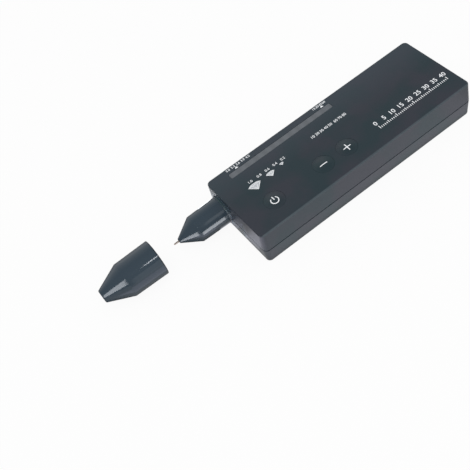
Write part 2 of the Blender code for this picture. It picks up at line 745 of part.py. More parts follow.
def make_buttons():
    """Three round keys, each with the plunger of the switch that it presses, which moves with it."""
    switch_size = (SWITCH_WIDTH, SWITCH_WIDTH, SWITCH_HEIGHT)
    switch = box("switch_body", *switch_size, (0, 0, 0), SWITCH_STEEL, SWITCH_EDGE_RADIUS)
    well_floor = SWITCH_HEIGHT - PLUNGER_WELL_DEPTH
    well_depth = PLUNGER_WELL_DEPTH + OVERRUN
    cut(switch, rod("plunger_well", PLUNGER_RADIUS + SEAT_GAP, well_depth, (0, 0, well_floor)))
    switch_mesh = settled(switch).data
    bpy.data.objects.remove(switch, do_unlink=True)
    flange_top = -TOP_WALL - SEAT_GAP
    flange_bottom = flange_top - BUTTON_FLANGE_THICKNESS
    stem_bottom = PLUNGER_TOP + SEAT_GAP - BODY_HEIGHT
    crown_shares = (0.0, 0.35, 0.7)
    crown = [
        (BUTTON_EDGE_RISE + BUTTON_CROWN_RISE * (1 - share**2), share * BUTTON_RADIUS, 0)
        for share in crown_shares
    ]
    button_corners = (
        *crown,
        (BUTTON_EDGE_RISE, BUTTON_RADIUS, BUTTON_EDGE_RADIUS),
        (flange_top, BUTTON_RADIUS, 0),
        (flange_top, BUTTON_FLANGE_RADIUS, 0),
        (flange_bottom, BUTTON_FLANGE_RADIUS, 0),
        (flange_bottom, BUTTON_STEM_RADIUS, 0),
        (stem_bottom, BUTTON_STEM_RADIUS, 0),
        (stem_bottom, 0, 0),
    )
    plunger_bottom = ON_BOARD + well_floor + BUTTON_TRAVEL + SEAT_GAP - BODY_HEIGHT
    plunger_corners = (
        (PLUNGER_TOP - BODY_HEIGHT, 0, 0),
        (PLUNGER_TOP - BODY_HEIGHT, PLUNGER_RADIUS, SWITCH_EDGE_RADIUS),
        (plunger_bottom, PLUNGER_RADIUS, 0),
        (plunger_bottom, 0, 0),
    )
    for name, x in BUTTON_X.items():
        place(f"{name}_switch", switch_mesh, (x, BUTTON_Y, ON_BOARD), SWITCH_STEEL)
        button = turned(
            f"{name}_button",
            button_corners,
            (x, BUTTON_Y, BODY_HEIGHT),
            BUTTON_PLASTIC,
            steps=BUTTON_STEPS,
        )
        turned(
            f"{name}_plunger",
            plunger_corners,
            (0, 0, 0),
            PLUNGER_PLASTIC,
            steps=SMALL_ROUND_STEPS,
            parent=button,
        )


def make_light_bar():
    """The smoked window in the top face and the row of flat lamps under it."""
    flange_middle = WINDOW_FLANGE_BOTTOM + WINDOW_FLANGE_THICKNESS / 2
    flange_outline = slot_outline(WINDOW_LENGTH, WINDOW_WIDTH, WINDOW_FLANGE_WIDTH)
    flange = outline_mesh("light_window", flange_outline, WINDOW_FLANGE_THICKNESS)
    window = place("light_window", flange, (WINDOW_X, WINDOW_Y, flange_middle), SMOKED_PLASTIC)
    pane_top = BODY_HEIGHT - WINDOW_SINK
    pane_height = pane_top - flange_middle
    pane = outline_mesh("window_pane", slot_outline(WINDOW_LENGTH, WINDOW_WIDTH), pane_height)
    join(window, place("window_pane", pane, (WINDOW_X, WINDOW_Y, pane_top - pane_height / 2)))
    pitch = WINDOW_LENGTH / LAMP_COUNT
    lamp_height = WINDOW_FLANGE_BOTTOM - SEAT_GAP - ON_BOARD
    lamp_mesh = box_mesh("lamp", pitch - LAMP_GAP, LAMP_WIDTH, lamp_height)
    front = WINDOW_X + WINDOW_LENGTH / 2
    for index in range(LAMP_COUNT):
        x = front - (index + 1 / 2) * pitch
        place(f"lamp_{index + 1:02d}", lamp_mesh, (x, WINDOW_Y, ON_BOARD), LAMP_RESIN)


def make_probe(axis):
    """The hollow probe held by the case, with its sprung needle, on an axis that runs along local Z."""
    sleeve_corners = (
        (PROBE_TIP, PROBE_TIP_RADIUS, 0),
        (PROBE_SHOULDER, PROBE_SHOULDER_RADIUS, PROBE_EDGE_RADIUS),
        (PROBE_NECK_FRONT, PROBE_ROOT_RADIUS, 0),
        (PROBE_NECK_FRONT, PROBE_NECK_RADIUS, 0),
        (PROBE_NECK_REAR, PROBE_NECK_RADIUS, 0),
        (PROBE_NECK_REAR, PROBE_FLANGE_RADIUS, 0),
        (PROBE_REAR, PROBE_FLANGE_RADIUS, 0),
        (PROBE_REAR, PROBE_BORE_RADIUS, 0),
        (PROBE_BORE_FRONT, PROBE_BORE_RADIUS, 0),
        (PROBE_BORE_FRONT, NEEDLE_HOLE_RADIUS, 0),
        (PROBE_TIP, NEEDLE_HOLE_RADIUS, 0),
    )
    turned("probe_sleeve", sleeve_corners, (0, 0, 0), PROBE_PLASTIC, closed=True, parent=axis)
    needle_corners = (
        (NEEDLE_TIP, 0, 0),
        (NEEDLE_TIP, NEEDLE_POINT_RADIUS, 0),
        (NEEDLE_TIP - NEEDLE_POINT_LENGTH, NEEDLE_RADIUS, 0),
        (COLLAR_FRONT, NEEDLE_RADIUS, 0),
        (COLLAR_FRONT, COLLAR_RADIUS, 0),
        (COLLAR_REAR, COLLAR_RADIUS, 0),
        (COLLAR_REAR, 0, 0),
    )
    turned("probe_needle", needle_corners, (0, 0, 0), COPPER, steps=SMALL_ROUND_STEPS, parent=axis)
    sensor_corners = (
        (SENSOR_FRONT, 0, 0),
        (SENSOR_FRONT, SENSOR_RADIUS, 0),
        (SENSOR_FRONT - SENSOR_LENGTH, SENSOR_RADIUS, SENSOR_RADIUS / 2),
        (SENSOR_FRONT - SENSOR_LENGTH, 0, 0),
    )
    turned("sensor_block", sensor_corners, (0, 0, 0), CERAMIC, steps=SMALL_ROUND_STEPS, parent=axis)
    plug_corners = (
        (PLUG_FRONT, PROBE_BORE_RADIUS - SEAT_GAP, 0),
        (PLUG_REAR, PROBE_BORE_RADIUS - SEAT_GAP, 0),
        (PLUG_REAR, PLUG_WAY_RADIUS, 0),
        (PLUG_FRONT, PLUG_WAY_RADIUS, 0),
    )
    turned(
        "probe_plug",
        plug_corners,
        (0, 0, 0),
        WHITE_PLASTIC,
        closed=True,
        steps=SMALL_ROUND_STEPS,
        parent=axis,
    )
    coil = []
    for step in range(SPRING_TURNS * SPRING_STEPS + 1):
        angle = 4 * QUARTER_TURN * step / SPRING_STEPS
        along = SPRING_REAR + (SPRING_FRONT - SPRING_REAR) * step / (SPRING_TURNS * SPRING_STEPS)
        coil.append((SPRING_COIL_RADIUS * math.cos(angle), SPRING_COIL_RADIUS * math.sin(angle), along))
    tube("probe_spring", coil, SPRING_WIRE_RADIUS, SPRING_STEEL, axis)


def make_cap(axis):
    """The probe's cap, whose mouth seats against the case when it is pushed home."""
    corners = (
        (CAP_TIP, 0, 0),
        (CAP_TIP, CAP_TIP_RADIUS, CAP_TIP_EDGE_RADIUS),
        (CAP_SHOULDER, CAP_SHOULDER_RADIUS, CAP_EDGE_RADIUS),
        (CAP_MOUTH, CAP_MOUTH_RADIUS, CAP_EDGE_RADIUS),
        (CAP_MOUTH, CAP_INNER_RADIUS, CAP_EDGE_RADIUS),
        (CAP_SHOULDER - CAP_EDGE_RADIUS, CAP_INNER_RADIUS, CAP_EDGE_RADIUS),
        (CAP_TIP - CAP_END_WALL, CAP_INNER_TIP_RADIUS, 0),
        (CAP_TIP - CAP_END_WALL, 0, 0),
    )
    turned("probe_cap", corners, (0, 0, 0), PROBE_PLASTIC, parent=axis)


def make_socket():
    """The charging inlet: a rounded metal tube with a contact tongue, open to the tail."""
    turn = (QUARTER_TURN, 0, QUARTER_TURN)
    middle_z = ON_BOARD + SOCKET_HEIGHT / 2
    centre_x = -SOCKET_MOUTH + SOCKET_LENGTH / 2
    outer = outline_mesh(
        "charging_socket", rounded_outline(SOCKET_WIDTH, SOCKET_HEIGHT, SOCKET_CORNER_RADIUS), SOCKET_LENGTH
    )
    socket = place("charging_socket", outer, (centre_x, 0, middle_z), SOCKET_STEEL, turn=turn)
    hollow_length = SOCKET_LENGTH - SOCKET_BACK_THICKNESS + OVERRUN
    hollow_outline = rounded_outline(
        SOCKET_WIDTH - 2 * SOCKET_WALL,
        SOCKET_HEIGHT - 2 * SOCKET_WALL,
        SOCKET_CORNER_RADIUS - SOCKET_WALL,
    )
    hollow = outline_mesh("socket_hollow", hollow_outline, hollow_length)
    hollow_x = -SOCKET_MOUTH - OVERRUN + hollow_length / 2
    cut(socket, place("socket_hollow", hollow, (hollow_x, 0, middle_z), turn=turn))
    back = -SOCKET_MOUTH + SOCKET_LENGTH - SOCKET_BACK_THICKNESS
    tongue_length = SOCKET_TONGUE_LENGTH + SOCKET_BACK_THICKNESS / 2
    tongue_x = back + SOCKET_BACK_THICKNESS / 2 - tongue_length / 2
    tongue_z = middle_z - SOCKET_TONGUE_THICKNESS / 2
    tongue_size = (tongue_length, SOCKET_TONGUE_WIDTH, SOCKET_TONGUE_THICKNESS)
    join(socket, box("socket_tongue", *tongue_size, (tongue_x, 0, tongue_z)))


def make_battery():
    pad_length = BATTERY_LENGTH - 2 * BATTERY_PAD_MARGIN
    pad_width = BATTERY_WIDTH - 2 * BATTERY_PAD_MARGIN
    pad_place = (BATTERY_X, 0, FLOOR_WALL + SEAT_GAP)
    box("battery_pad", pad_length, pad_width, BATTERY_PAD_THICKNESS, pad_place, FOAM)
    battery_place = (BATTERY_X, 0, BATTERY_BOTTOM)
    battery_size = (BATTERY_LENGTH, BATTERY_WIDTH, BATTERY_THICKNESS)
    battery_edge = min(BATTERY_EDGE_RADIUS, BATTERY_THICKNESS / 3)
    box("battery", *battery_size, battery_place, BATTERY_FOIL, battery_edge)
    connector_place = (CONNECTOR_X, 0, UNDER_BOARD - CONNECTOR_HEIGHT)
    connector_size = (CONNECTOR_LENGTH, CONNECTOR_WIDTH, CONNECTOR_HEIGHT)
    box("battery_connector", *connector_size, connector_place, WHITE_PLASTIC, SWITCH_EDGE_RADIUS)
    lead_end_z = UNDER_BOARD - CONNECTOR_HEIGHT / 2
    for name, side, finish in (("positive", 1, RED_SLEEVE), ("negative", -1, BLACK_SLEEVE)):
        y = side * LEAD_PITCH / 2
        start = (BATTERY_FRONT + SEAT_GAP, y, BATTERY_LEAD_START)
        end = (CONNECTOR_X - CONNECTOR_LENGTH / 2 - SEAT_GAP, y, lead_end_z)
        tube(f"battery_lead_{name}", eased(start, end), LEAD_RADIUS, finish)


def make_chip(name, length, width, height, leg_count, shares):
    """A chip standing on two rows of legs."""
    x, y = board_place(shares)
    chip = box(name, length, width, height, (x, y, ON_BOARD + CHIP_STANDING), CHIP_RESIN)
    pitch = length / leg_count
    legs = []
    for side in (-1, 1):
        for index in range(leg_count):
            leg_x = x - length / 2 + (index + 1 / 2) * pitch
            leg_y = y + side * width / 2
            size = (CHIP_LEG_WIDTH, 2 * CHIP_LEG_REACH, CHIP_LEG_THICKNESS)
            legs.append(box(f"{name}_leg_{side}_{index}", *size, (leg_x, leg_y, ON_BOARD)))
    join(chip, *legs)


def make_components():
    controller_size = (CONTROLLER_LENGTH, CONTROLLER_WIDTH, CONTROLLER_HEIGHT)
    make_chip("controller_chip", *controller_size, CONTROLLER_LEGS, CONTROLLER_SHARES)
    amplifier_size = (AMPLIFIER_LENGTH, AMPLIFIER_WIDTH, AMPLIFIER_HEIGHT)
    make_chip("amplifier_chip", *amplifier_size, AMPLIFIER_LEGS, AMPLIFIER_SHARES)
    charger_size = (CHARGER_LENGTH, CHARGER_WIDTH, CHARGER_HEIGHT)
    make_chip("charger_chip", *charger_size, CHARGER_LEGS, CHARGER_SHARES)
    capacitor_corners = (
        (CAPACITOR_HEIGHT, 0, 0),
        (CAPACITOR_HEIGHT, CAPACITOR_RADIUS, CAPACITOR_EDGE_RADIUS),
        (0, CAPACITOR_RADIUS, 0),
        (0, 0, 0),
    )
    capacitor_place = (*board_place(CAPACITOR_SHARES), ON_BOARD)
    turned("smoothing_capacitor", capacitor_corners, capacitor_place, CAN_METAL, steps=SMALL_ROUND_STEPS)
    buzzer_corners = (
        (BUZZER_HEIGHT - BUZZER_PORT_DEPTH, 0, 0),
        (BUZZER_HEIGHT - BUZZER_PORT_DEPTH, BUZZER_PORT_RADIUS, 0),
        (BUZZER_HEIGHT, BUZZER_PORT_RADIUS, 0),
        (BUZZER_HEIGHT, BUZZER_RADIUS, BUZZER_EDGE_RADIUS),
        (0, BUZZER_RADIUS, 0),
        (0, 0, 0),
    )
    buzzer_place = (*board_place(BUZZER_SHARES), ON_BOARD)
    turned("buzzer", buzzer_corners, buzzer_place, CHIP_RESIN, steps=SMALL_ROUND_STEPS)


def make_sensor_leads():
    """Two thin leads from the probe's plug back under the board, where each turns up to its pad."""
    end_z = UNDER_BOARD - SENSOR_LEAD_RADIUS
    sag_z = end_z - SENSOR_LEAD_SAG
    for index, side in enumerate((-1, 1), 1):
        y = PROBE_Y + side * SENSOR_LEAD_PITCH / 2
        start = (PLUG_REAR - SEAT_GAP, y, PARTING_HEIGHT)
        middle = (start[0] - SENSOR_LEAD_REACH * 2 / 3, y, sag_z)
        end = (start[0] - SENSOR_LEAD_REACH, y, end_z)
        first = eased(start, middle)
        second = eased(middle, end)
        tube(f"sensor_lead_{index}", first + second[1:], SENSOR_LEAD_RADIUS, ENAMEL)


clear_scene()
parts = new_collection("diamond_tester")
cutters = new_collection("diamond_tester_cutters")

CASE_PLASTIC = plastic("case_plastic", (0.050, 0.054, 0.070), 0.42)
BUTTON_PLASTIC = plastic("button_plastic", (0.030, 0.036, 0.042), 0.30)
PROBE_PLASTIC = plastic("probe_plastic", (0.028, 0.034, 0.042), 0.20)
SMOKED_PLASTIC = plastic("smoked_plastic", (0.155, 0.168, 0.180), 0.25)
PLUNGER_PLASTIC = plastic("plunger_plastic", (0.020, 0.020, 0.022), 0.50)
WHITE_PLASTIC = plastic("white_plastic", (0.800, 0.780, 0.720), 0.50)
BOARD_GREEN = plastic("board_green", (0.020, 0.180, 0.070), 0.40)
LAMP_RESIN = plastic("lamp_resin", (0.700, 0.720, 0.700), 0.25)
CHIP_RESIN = plastic("chip_resin", (0.020, 0.020, 0.022), 0.60)
FOAM = plastic("foam", (0.050, 0.050, 0.055), 0.90)
BATTERY_FOIL = plastic("battery_foil", (0.620, 0.640, 0.660), 0.35, 0.80)
RED_SLEEVE = plastic("red_sleeve", (0.600, 0.030, 0.020), 0.45)
BLACK_SLEEVE = plastic("black_sleeve", (0.015, 0.015, 0.015), 0.45)
ENAMEL = plastic("enamel", (0.450, 0.160, 0.050), 0.35)
CERAMIC = plastic("ceramic", (0.780, 0.760, 0.720), 0.55)
COPPER = plastic("copper", (0.560, 0.300, 0.190), 0.30, 1.0)
STEEL = plastic("steel", (0.520, 0.520, 0.530), 0.30, 1.0)
SPRING_STEEL = plastic("spring_steel", (0.480, 0.480, 0.490), 0.25, 1.0)
SWITCH_STEEL = plastic("switch_steel", (0.560, 0.560, 0.570), 0.35, 1.0)
SOCKET_STEEL = plastic("socket_steel", (0.600, 0.600, 0.610), 0.28, 1.0)
CAN_METAL = plastic("can_metal", (0.650, 0.650, 0.660), 0.30, 1.0)

probe_axis = bpy.data.objects.new("probe_axis", None)
probe_axis.location = (0, PROBE_Y, PARTING_HEIGHT)
probe_axis.rotation_euler = AHEAD
parts.objects.link(probe_axis)

make_lower_shell()
make_upper_shell()
make_screws()
make_board()
make_buttons()
make_light_bar()
make_probe(probe_axis)
make_cap(probe_axis)
make_socket()
make_battery()
make_components()
make_sensor_leads()
bpy.context.view_layer.update()
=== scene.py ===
"""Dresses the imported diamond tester: fine shells, keys, probe and cap, printed marks, finishes and a studio.

Metres throughout, in the frame's own axes: +X runs to the probe's tip, +Y to the side near the keys, and
+Z up out of the printed face. Each piece is made where it belongs, so its object stays at the origin.
"""

import json
import math
from collections import namedtuple

import bmesh
import bpy
from mathutils import Matrix, Vector


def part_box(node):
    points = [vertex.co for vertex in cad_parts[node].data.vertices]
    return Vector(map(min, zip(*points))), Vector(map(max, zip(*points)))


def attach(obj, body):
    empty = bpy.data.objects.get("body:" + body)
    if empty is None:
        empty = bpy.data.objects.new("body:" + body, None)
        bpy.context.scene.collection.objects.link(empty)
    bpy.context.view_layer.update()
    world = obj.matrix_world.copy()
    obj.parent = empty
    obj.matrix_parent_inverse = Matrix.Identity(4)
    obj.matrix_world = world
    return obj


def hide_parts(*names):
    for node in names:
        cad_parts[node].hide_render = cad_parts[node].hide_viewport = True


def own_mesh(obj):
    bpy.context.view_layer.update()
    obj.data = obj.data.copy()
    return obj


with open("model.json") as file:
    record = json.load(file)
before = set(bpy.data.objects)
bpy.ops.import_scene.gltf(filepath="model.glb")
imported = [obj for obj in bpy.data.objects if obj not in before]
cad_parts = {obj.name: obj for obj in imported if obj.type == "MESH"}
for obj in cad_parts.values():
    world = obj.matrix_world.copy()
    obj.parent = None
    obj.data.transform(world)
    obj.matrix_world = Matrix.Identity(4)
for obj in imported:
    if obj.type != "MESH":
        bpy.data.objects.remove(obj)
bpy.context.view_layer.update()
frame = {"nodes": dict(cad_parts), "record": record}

bl_info = {
    "name": "Diamond tester",
    "version": (1, 0, 0),
    "blender": (4, 5, 0),
    "location": "3D View > Sidebar > Tester",
    "description": "Builds the visible pieces, finishes and studio of a pocket diamond tester",
    "category": "Object",
}

# Case, from the frame's boxes and the sizes that its walls follow
HALF_LENGTH, HALF_WIDTH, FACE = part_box("upper_shell")[1]
SEAT_GAP = 0.0003
LIP_HEIGHT = 0.0010
LIP_THICKNESS = 0.0007
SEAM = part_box("lower_shell")[1].z - LIP_HEIGHT
LOWER_RIM = SEAM - SEAT_GAP / 2
UPPER_RIM = SEAM + SEAT_GAP / 2
WALL = 0.0018
CEILING = FACE - WALL
TOP_DRAFT = 0.0004
BASE_DRAFT = 0.0006
CORNER_RADIUS = 0.0026
INNER_CORNER_RADIUS = 0.0008
POST_RADIUS = 0.0030
STANDOFF_RADIUS = 0.0022
THREAD_CLEARANCE = 0.0002
OVERRUN = 0.0010
FENCE_THICKNESS = 0.0010
FENCE_CLEARANCE = 0.0005
FENCE_TOP = 0.00455
RIB_THICKNESS = 0.0015
RIB_END = -0.0200
STANDOFF_DROP = 0.0059

# Probe's line, from the sleeve's box
SLEEVE_LOW, SLEEVE_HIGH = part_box("probe_sleeve")
PROBE_Y = (SLEEVE_LOW.y + SLEEVE_HIGH.y) / 2
PROBE_Z = (SLEEVE_LOW.z + SLEEVE_HIGH.z) / 2
ALONG_PROBE = Matrix.Translation((0, PROBE_Y, PROBE_Z)) @ Matrix.Rotation(math.radians(90), 4, "Y")

# Painted light on the case: how far the painted edge highlight reaches in from the face's edges, and the round
# patch of painted light round the probe
PAINTED_LIGHT_REACH = 0.0008
ROOT_LIGHT_RADIUS = 0.0096
ROOT_LIGHT_FADE = 0.00002

# Fillets that several pieces share
FINE_FILLET = 0.0001
SMALL_FILLET = 0.0002
EDGE_FILLET = 0.0003
SHOULDER_FILLET = 0.0005

# Facets
CORNER_STEPS = 10
EDGE_STEPS = 6
ROUND_STEPS = 128
SMALL_ROUND_STEPS = 48
SHARP_ANGLE = math.radians(28)
WELD = 0.000002

pieces = bpy.data.collections.new("diamond_tester")
bpy.context.scene.collection.children.link(pieces)


class Signal:
    """A node's output: sums, products and comparisons of signals and numbers add their Math nodes."""

    def __init__(self, tree, socket):
        self.tree = tree
        self.socket = socket

    def __add__(self, other):
        return self.tree.maths("ADD", self, other)

    __radd__ = __add__

    def __sub__(self, other):
        return self.tree.maths("SUBTRACT", self, other)

    def __rsub__(self, other):
        return self.tree.maths("SUBTRACT", other, self)

    def __mul__(self, other):
        return self.tree.maths("MULTIPLY", self, other)

    __rmul__ = __mul__

    def __truediv__(self, other):
        return self.tree.maths("DIVIDE", self, other)

    def __gt__(self, other):
        return self.tree.maths("GREATER_THAN", self, other)

    def __lt__(self, other):
        return self.tree.maths("LESS_THAN", self, other)


class Tree:
    """A node tree that grows by one call for each node."""

    def __init__(self, tree):
        self.tree = tree
        tree.nodes.clear()

    def add(self, kind, settings=None, sockets=None, output=0):
        """Adds a node: its settings first, then its sockets' values or links. Gives one of its outputs."""
        node = self.tree.nodes.new(kind)
        for name, value in (settings or {}).items():
            if name == "stops":
                for element, (position, colour) in zip(node.color_ramp.elements, value):
                    element.position = position
                    element.color = colour
            else:
                setattr(node, name, value)
        for name, value in (sockets or {}).items():
            if isinstance(value, Signal):
                self.tree.links.new(value.socket, node.inputs[name])
            else:
                node.inputs[name].default_value = value
        return Signal(self, node.outputs[output]) if node.outputs else node

    def maths(self, operation, first, second=0.0):
        return self.add("ShaderNodeMath", {"operation": operation}, {0: first, 1: second})

    def part(self, vector, index):
        """One of a vector's three numbers."""
        return self.add("ShaderNodeSeparateXYZ", {}, {0: vector}, output=index)


class Nodes(Tree):
    """A material's or the world's tree."""

    def place(self):
        return self.add("ShaderNodeTexCoord", output="Object")

    def noise(self, scale, detail=2.0, where=None):
        sockets = {"Vector": where or self.place(), "Scale": scale, "Detail": detail}
        return self.add("ShaderNodeTexNoise", {}, sockets)

    def stretched(self, scales):
        """Object coordinates scaled unevenly, for grain that runs one way."""
        return self.add("ShaderNodeMapping", {}, {"Vector": self.place(), "Scale": scales})

    def mixed(self, share, first, second):
        return self.add("ShaderNodeMix", {"data_type": "RGBA"}, {0: share, 6: first, 7: second}, output=2)

    def toned(self, share, colour, tones):
        """A colour that runs between two tones of itself."""
        return self.mixed(share, *(opaque(colour, tone) for tone in tones))

    def axis(self, index):
        """One of the three Object coordinates."""
        return self.part(self.place(), index)

    def clamped(self, value):
        return self.add("ShaderNodeClamp", {}, {"Value": value})

    def ray(self, kind):
        return self.add("ShaderNodeLightPath", output=f"Is {kind} Ray")

    def bump(self, height, distance, strength=1.0):
        sockets = {"Height": height, "Distance": distance, "Strength": strength}
        return self.add("ShaderNodeBump", {}, sockets)


# Finishes. Scales are a noise's cells in a metre and depths are metres. Tones multiply a colour, and a pair
# for roughness is its least share and what the noise adds.
GRAIN_ROUGHNESS = (0.85, 0.3)
DRAWN_DRIFT_SCALE = 90.0
DRAWN_TONES = (0.86, 1.08)
DRAWN_ROUGHNESS = (0.7, 0.6)
DRAWN_DEPTH = 0.000012
PATCH_SCALE = 58.0
PATCH_CONTRAST = 4.5
PATCH_TONES = ((0.45, 0.98, 0.94), (1.60, 1.02, 1.10))
MOULD_GRAIN_SCALE = 2600.0
MOULD_GRAIN_DEPTH = 0.000014
MOULD_ROUGHNESS = (0.86, 0.16)
MOULD_IOR = 1.55
HANDLED_SCALE = 120.0
HANDLED_ROUGHNESS = 0.12
# Painted sheen: the case is painted lighter towards -Y, away from the keys, as a reflection of brighter
# surroundings there
FAR_SHEEN_START = -0.1
FAR_SHEEN_GROWTH = 1.3
FAR_SHEEN_TONES = (2.7, 2.0, 1.9)
# Painted highlight along the face's edge towards the keys
EDGE_HIGHLIGHT_CONTRAST = 2.2
EDGE_HIGHLIGHT_SHARE = (0.7, 0.5)
EDGE_HIGHLIGHT_TONES = (7.4, 5.0, 4.0)
# Painted light that lifts the shade round the probe's root, on the case's front wall and on the collar
ROOT_LIGHT_TONES = (3.6, 3.0, 2.9)
COLLAR_LIGHT_TONES = (2.6, 2.0, 1.7)
RIPPLE_SCALE = 60.0
RIPPLE_TONES = (0.88, 1.12)
RIPPLE_DEPTH = 0.000004
RIPPLE_STRENGTH = 0.3
HAIRLINE_SCALES = (60.0, 700.0, 700.0)
HAIRLINE_ROUGHNESS = (0.95, 0.1)
POLISH_IOR = 1.42
# Painted shade on the edge of the cap's mouth
MOUTH_SHADE_TONE = 0.2
LAMP_TONES = (0.92, 1.06)
FROST_SCALE = 2200.0
FROST_DEPTH = 0.000008
FROST_ROUGHNESS = (0.34, 0.10)


def opaque(colour, factor):
    """A colour property as a socket's four numbers, lightened or darkened by one factor, or one for each."""
    factors = factor if isinstance(factor, tuple) else (factor,) * 3
    return (*(min(1.0, channel * gain) for channel, gain in zip(colour[:3], factors)), 1.0)


def varied(amounts, share):
    """The first amount, and as much of the second as the share says."""
    return amounts[0] + amounts[1] * share


def surfaced(data, surface_for, output="Material"):
    """Gives a material or a world the shader that surface_for adds to its empty node tree."""
    data.use_nodes = True
    nodes = Nodes(data.node_tree)
    nodes.add(f"ShaderNodeOutput{output}", {}, {"Surface": surface_for(nodes)})
    return data


def finish(name, sockets_for):
    """A material whose Principled sockets are what sockets_for gives for its empty node tree."""

    def surface(nodes):
        return nodes.add("ShaderNodeBsdfPrincipled", {}, sockets_for(nodes))

    return surfaced(bpy.data.materials.new(name), surface)


def grained(
    name, colour, roughness, metallic=0.0, drift=0.12, drift_scale=60.0, grain_scale=2200.0, depth=0.0
):
    """A moulded, cast or drawn surface: its colour drifts a little, and a fine grain breaks its gloss."""

    def sockets(nodes):
        broad = nodes.noise(drift_scale)
        fine = nodes.noise(grain_scale, 4.0)
        sockets = {
            "Base Color": nodes.toned(broad, colour, (1 - drift, 1 + drift)),
            "Roughness": roughness * varied(GRAIN_ROUGHNESS, fine),
            "Metallic": metallic,
        }
        if depth:
            sockets["Normal"] = nodes.bump(fine, depth)
        return sockets

    return finish(name, sockets)


def brushed(name, colour, roughness, stretch):
    """Drawn or turned metal with fine lines that run along one axis."""

    def sockets(nodes):
        lines = nodes.noise(1.0, 3.0, nodes.stretched(stretch))
        broad = nodes.noise(DRAWN_DRIFT_SCALE)
        return {
            "Base Color": nodes.toned(broad, colour, DRAWN_TONES),
            "Roughness": roughness * varied(DRAWN_ROUGHNESS, lines),
            "Metallic": 1.0,
            "Normal": nodes.bump(lines, DRAWN_DEPTH, 0.6),
        }

    return finish(name, sockets)


def weathered(nodes, body, colour, handling_and_highlight, painted_light):
    """The case's painted light: a painted sheen that lightens it away from the keys, a painted highlight along
    its edge, and painted light that lifts the shade round the probe.
    """
    # Painted sheen: lighter towards -Y, away from the keys
    far_sheen = nodes.clamped(FAR_SHEEN_START - FAR_SHEEN_GROWTH / HALF_WIDTH * nodes.axis(1)) * painted_light
    body = nodes.mixed(far_sheen, body, opaque(colour, FAR_SHEEN_TONES))
    # Painted highlight along the face's edge towards the keys, broken up by the handling noise
    out = (nodes.axis(1) - (HALF_WIDTH - TOP_DRAFT - PAINTED_LIGHT_REACH)) / PAINTED_LIGHT_REACH
    up = (nodes.axis(2) - (FACE - PAINTED_LIGHT_REACH)) / PAINTED_LIGHT_REACH
    edge = nodes.clamped(nodes.maths("MINIMUM", out, up) * EDGE_HIGHLIGHT_CONTRAST) * varied(EDGE_HIGHLIGHT_SHARE, handling_and_highlight) * painted_light
    body = nodes.mixed(edge, body, opaque(colour, EDGE_HIGHLIGHT_TONES))
    # Painted light on the front wall round the probe's root, where the probe's shade falls
    across, above = nodes.axis(1) - PROBE_Y, nodes.axis(2) - PROBE_Z
    inside = (ROOT_LIGHT_RADIUS**2 - (across * across + above * above)) / ROOT_LIGHT_FADE
    painted_root_light = nodes.clamped(inside) * (nodes.axis(0) > HALF_LENGTH - PAINTED_LIGHT_REACH)
    return nodes.mixed(painted_root_light, body, opaque(colour, ROOT_LIGHT_TONES))


def moulded(name, colour, roughness, painted_light=0.0):
    """Spark-eroded plastic: a fine grain and a slow drift of hue, and, if its strength is given, the case's
    painted sheen, painted edge highlight and painted light round the probe.
    """

    def sockets(nodes):
        patches = nodes.clamped((nodes.noise(PATCH_SCALE, 3.0) - 0.5) * PATCH_CONTRAST + 0.5)
        fine = nodes.noise(MOULD_GRAIN_SCALE, 4.0)
        handling_and_highlight = nodes.noise(HANDLED_SCALE, 3.0)
        body = nodes.toned(patches, colour, PATCH_TONES)
        if painted_light:
            body = weathered(nodes, body, colour, handling_and_highlight, painted_light)
        return {
            "Base Color": body,
            "Roughness": roughness * (varied(MOULD_ROUGHNESS, fine) + HANDLED_ROUGHNESS * handling_and_highlight),
            "IOR": MOULD_IOR,
            "Normal": nodes.bump(fine, MOULD_GRAIN_DEPTH, 0.5),
        }

    return finish(name, sockets)


def polished(name, colour, roughness, mouth=None):
    """Glossy plastic with faint moulding ripple and hair-fine wear, and painted shade that darkens the edge of
    a mouth.
    """

    def sockets(nodes):
        broad = nodes.noise(RIPPLE_SCALE)
        wear = nodes.noise(1.0, 4.0, nodes.stretched(HAIRLINE_SCALES))
        body = nodes.toned(broad, colour, RIPPLE_TONES)
        if mouth is not None:
            # Painted shade along the mouth's rim
            rim_shade = nodes.clamped((mouth + CAP_RIM_SHADE_REACH - nodes.axis(0)) / CAP_RIM_SHADE_FADE)
            body = nodes.mixed(rim_shade, body, opaque(colour, MOUTH_SHADE_TONE))
        return {
            "Base Color": body,
            "Roughness": roughness * varied(HAIRLINE_ROUGHNESS, wear),
            "IOR": POLISH_IOR,
            "Normal": nodes.bump(broad, RIPPLE_DEPTH, RIPPLE_STRENGTH),
        }

    return finish(name, sockets)


def smoked(name, colour):
    """Smoked frosted plastic, a little lighter where the lamps stand under it."""
    lamp = centre_of("lamp_01").x
    pitch = lamp - centre_of("lamp_02").x

    def sockets(nodes):
        turns = (nodes.axis(0) - lamp) * (math.tau / pitch)
        glow = 0.5 + 0.5 * nodes.maths("COSINE", turns)
        fine = nodes.noise(FROST_SCALE, 4.0)
        return {
            "Base Color": nodes.toned(glow, colour, LAMP_TONES),
            "Roughness": varied(FROST_ROUGHNESS, fine),
            "Normal": nodes.bump(fine, FROST_DEPTH, 0.5),
        }

    return finish(name, sockets)


def stored(form, name):
    """Stores a bmesh as a mesh."""
    mesh = bpy.data.meshes.new(name)
    form.to_mesh(mesh)
    form.free()
    return mesh


def mesh_from(form, name):
    """Stores a bmesh as a mesh, welded and with its faces pointing out."""
    bmesh.ops.remove_doubles(form, verts=form.verts[:], dist=WELD)
    bmesh.ops.recalc_face_normals(form, faces=form.faces[:])
    return stored(form, name)


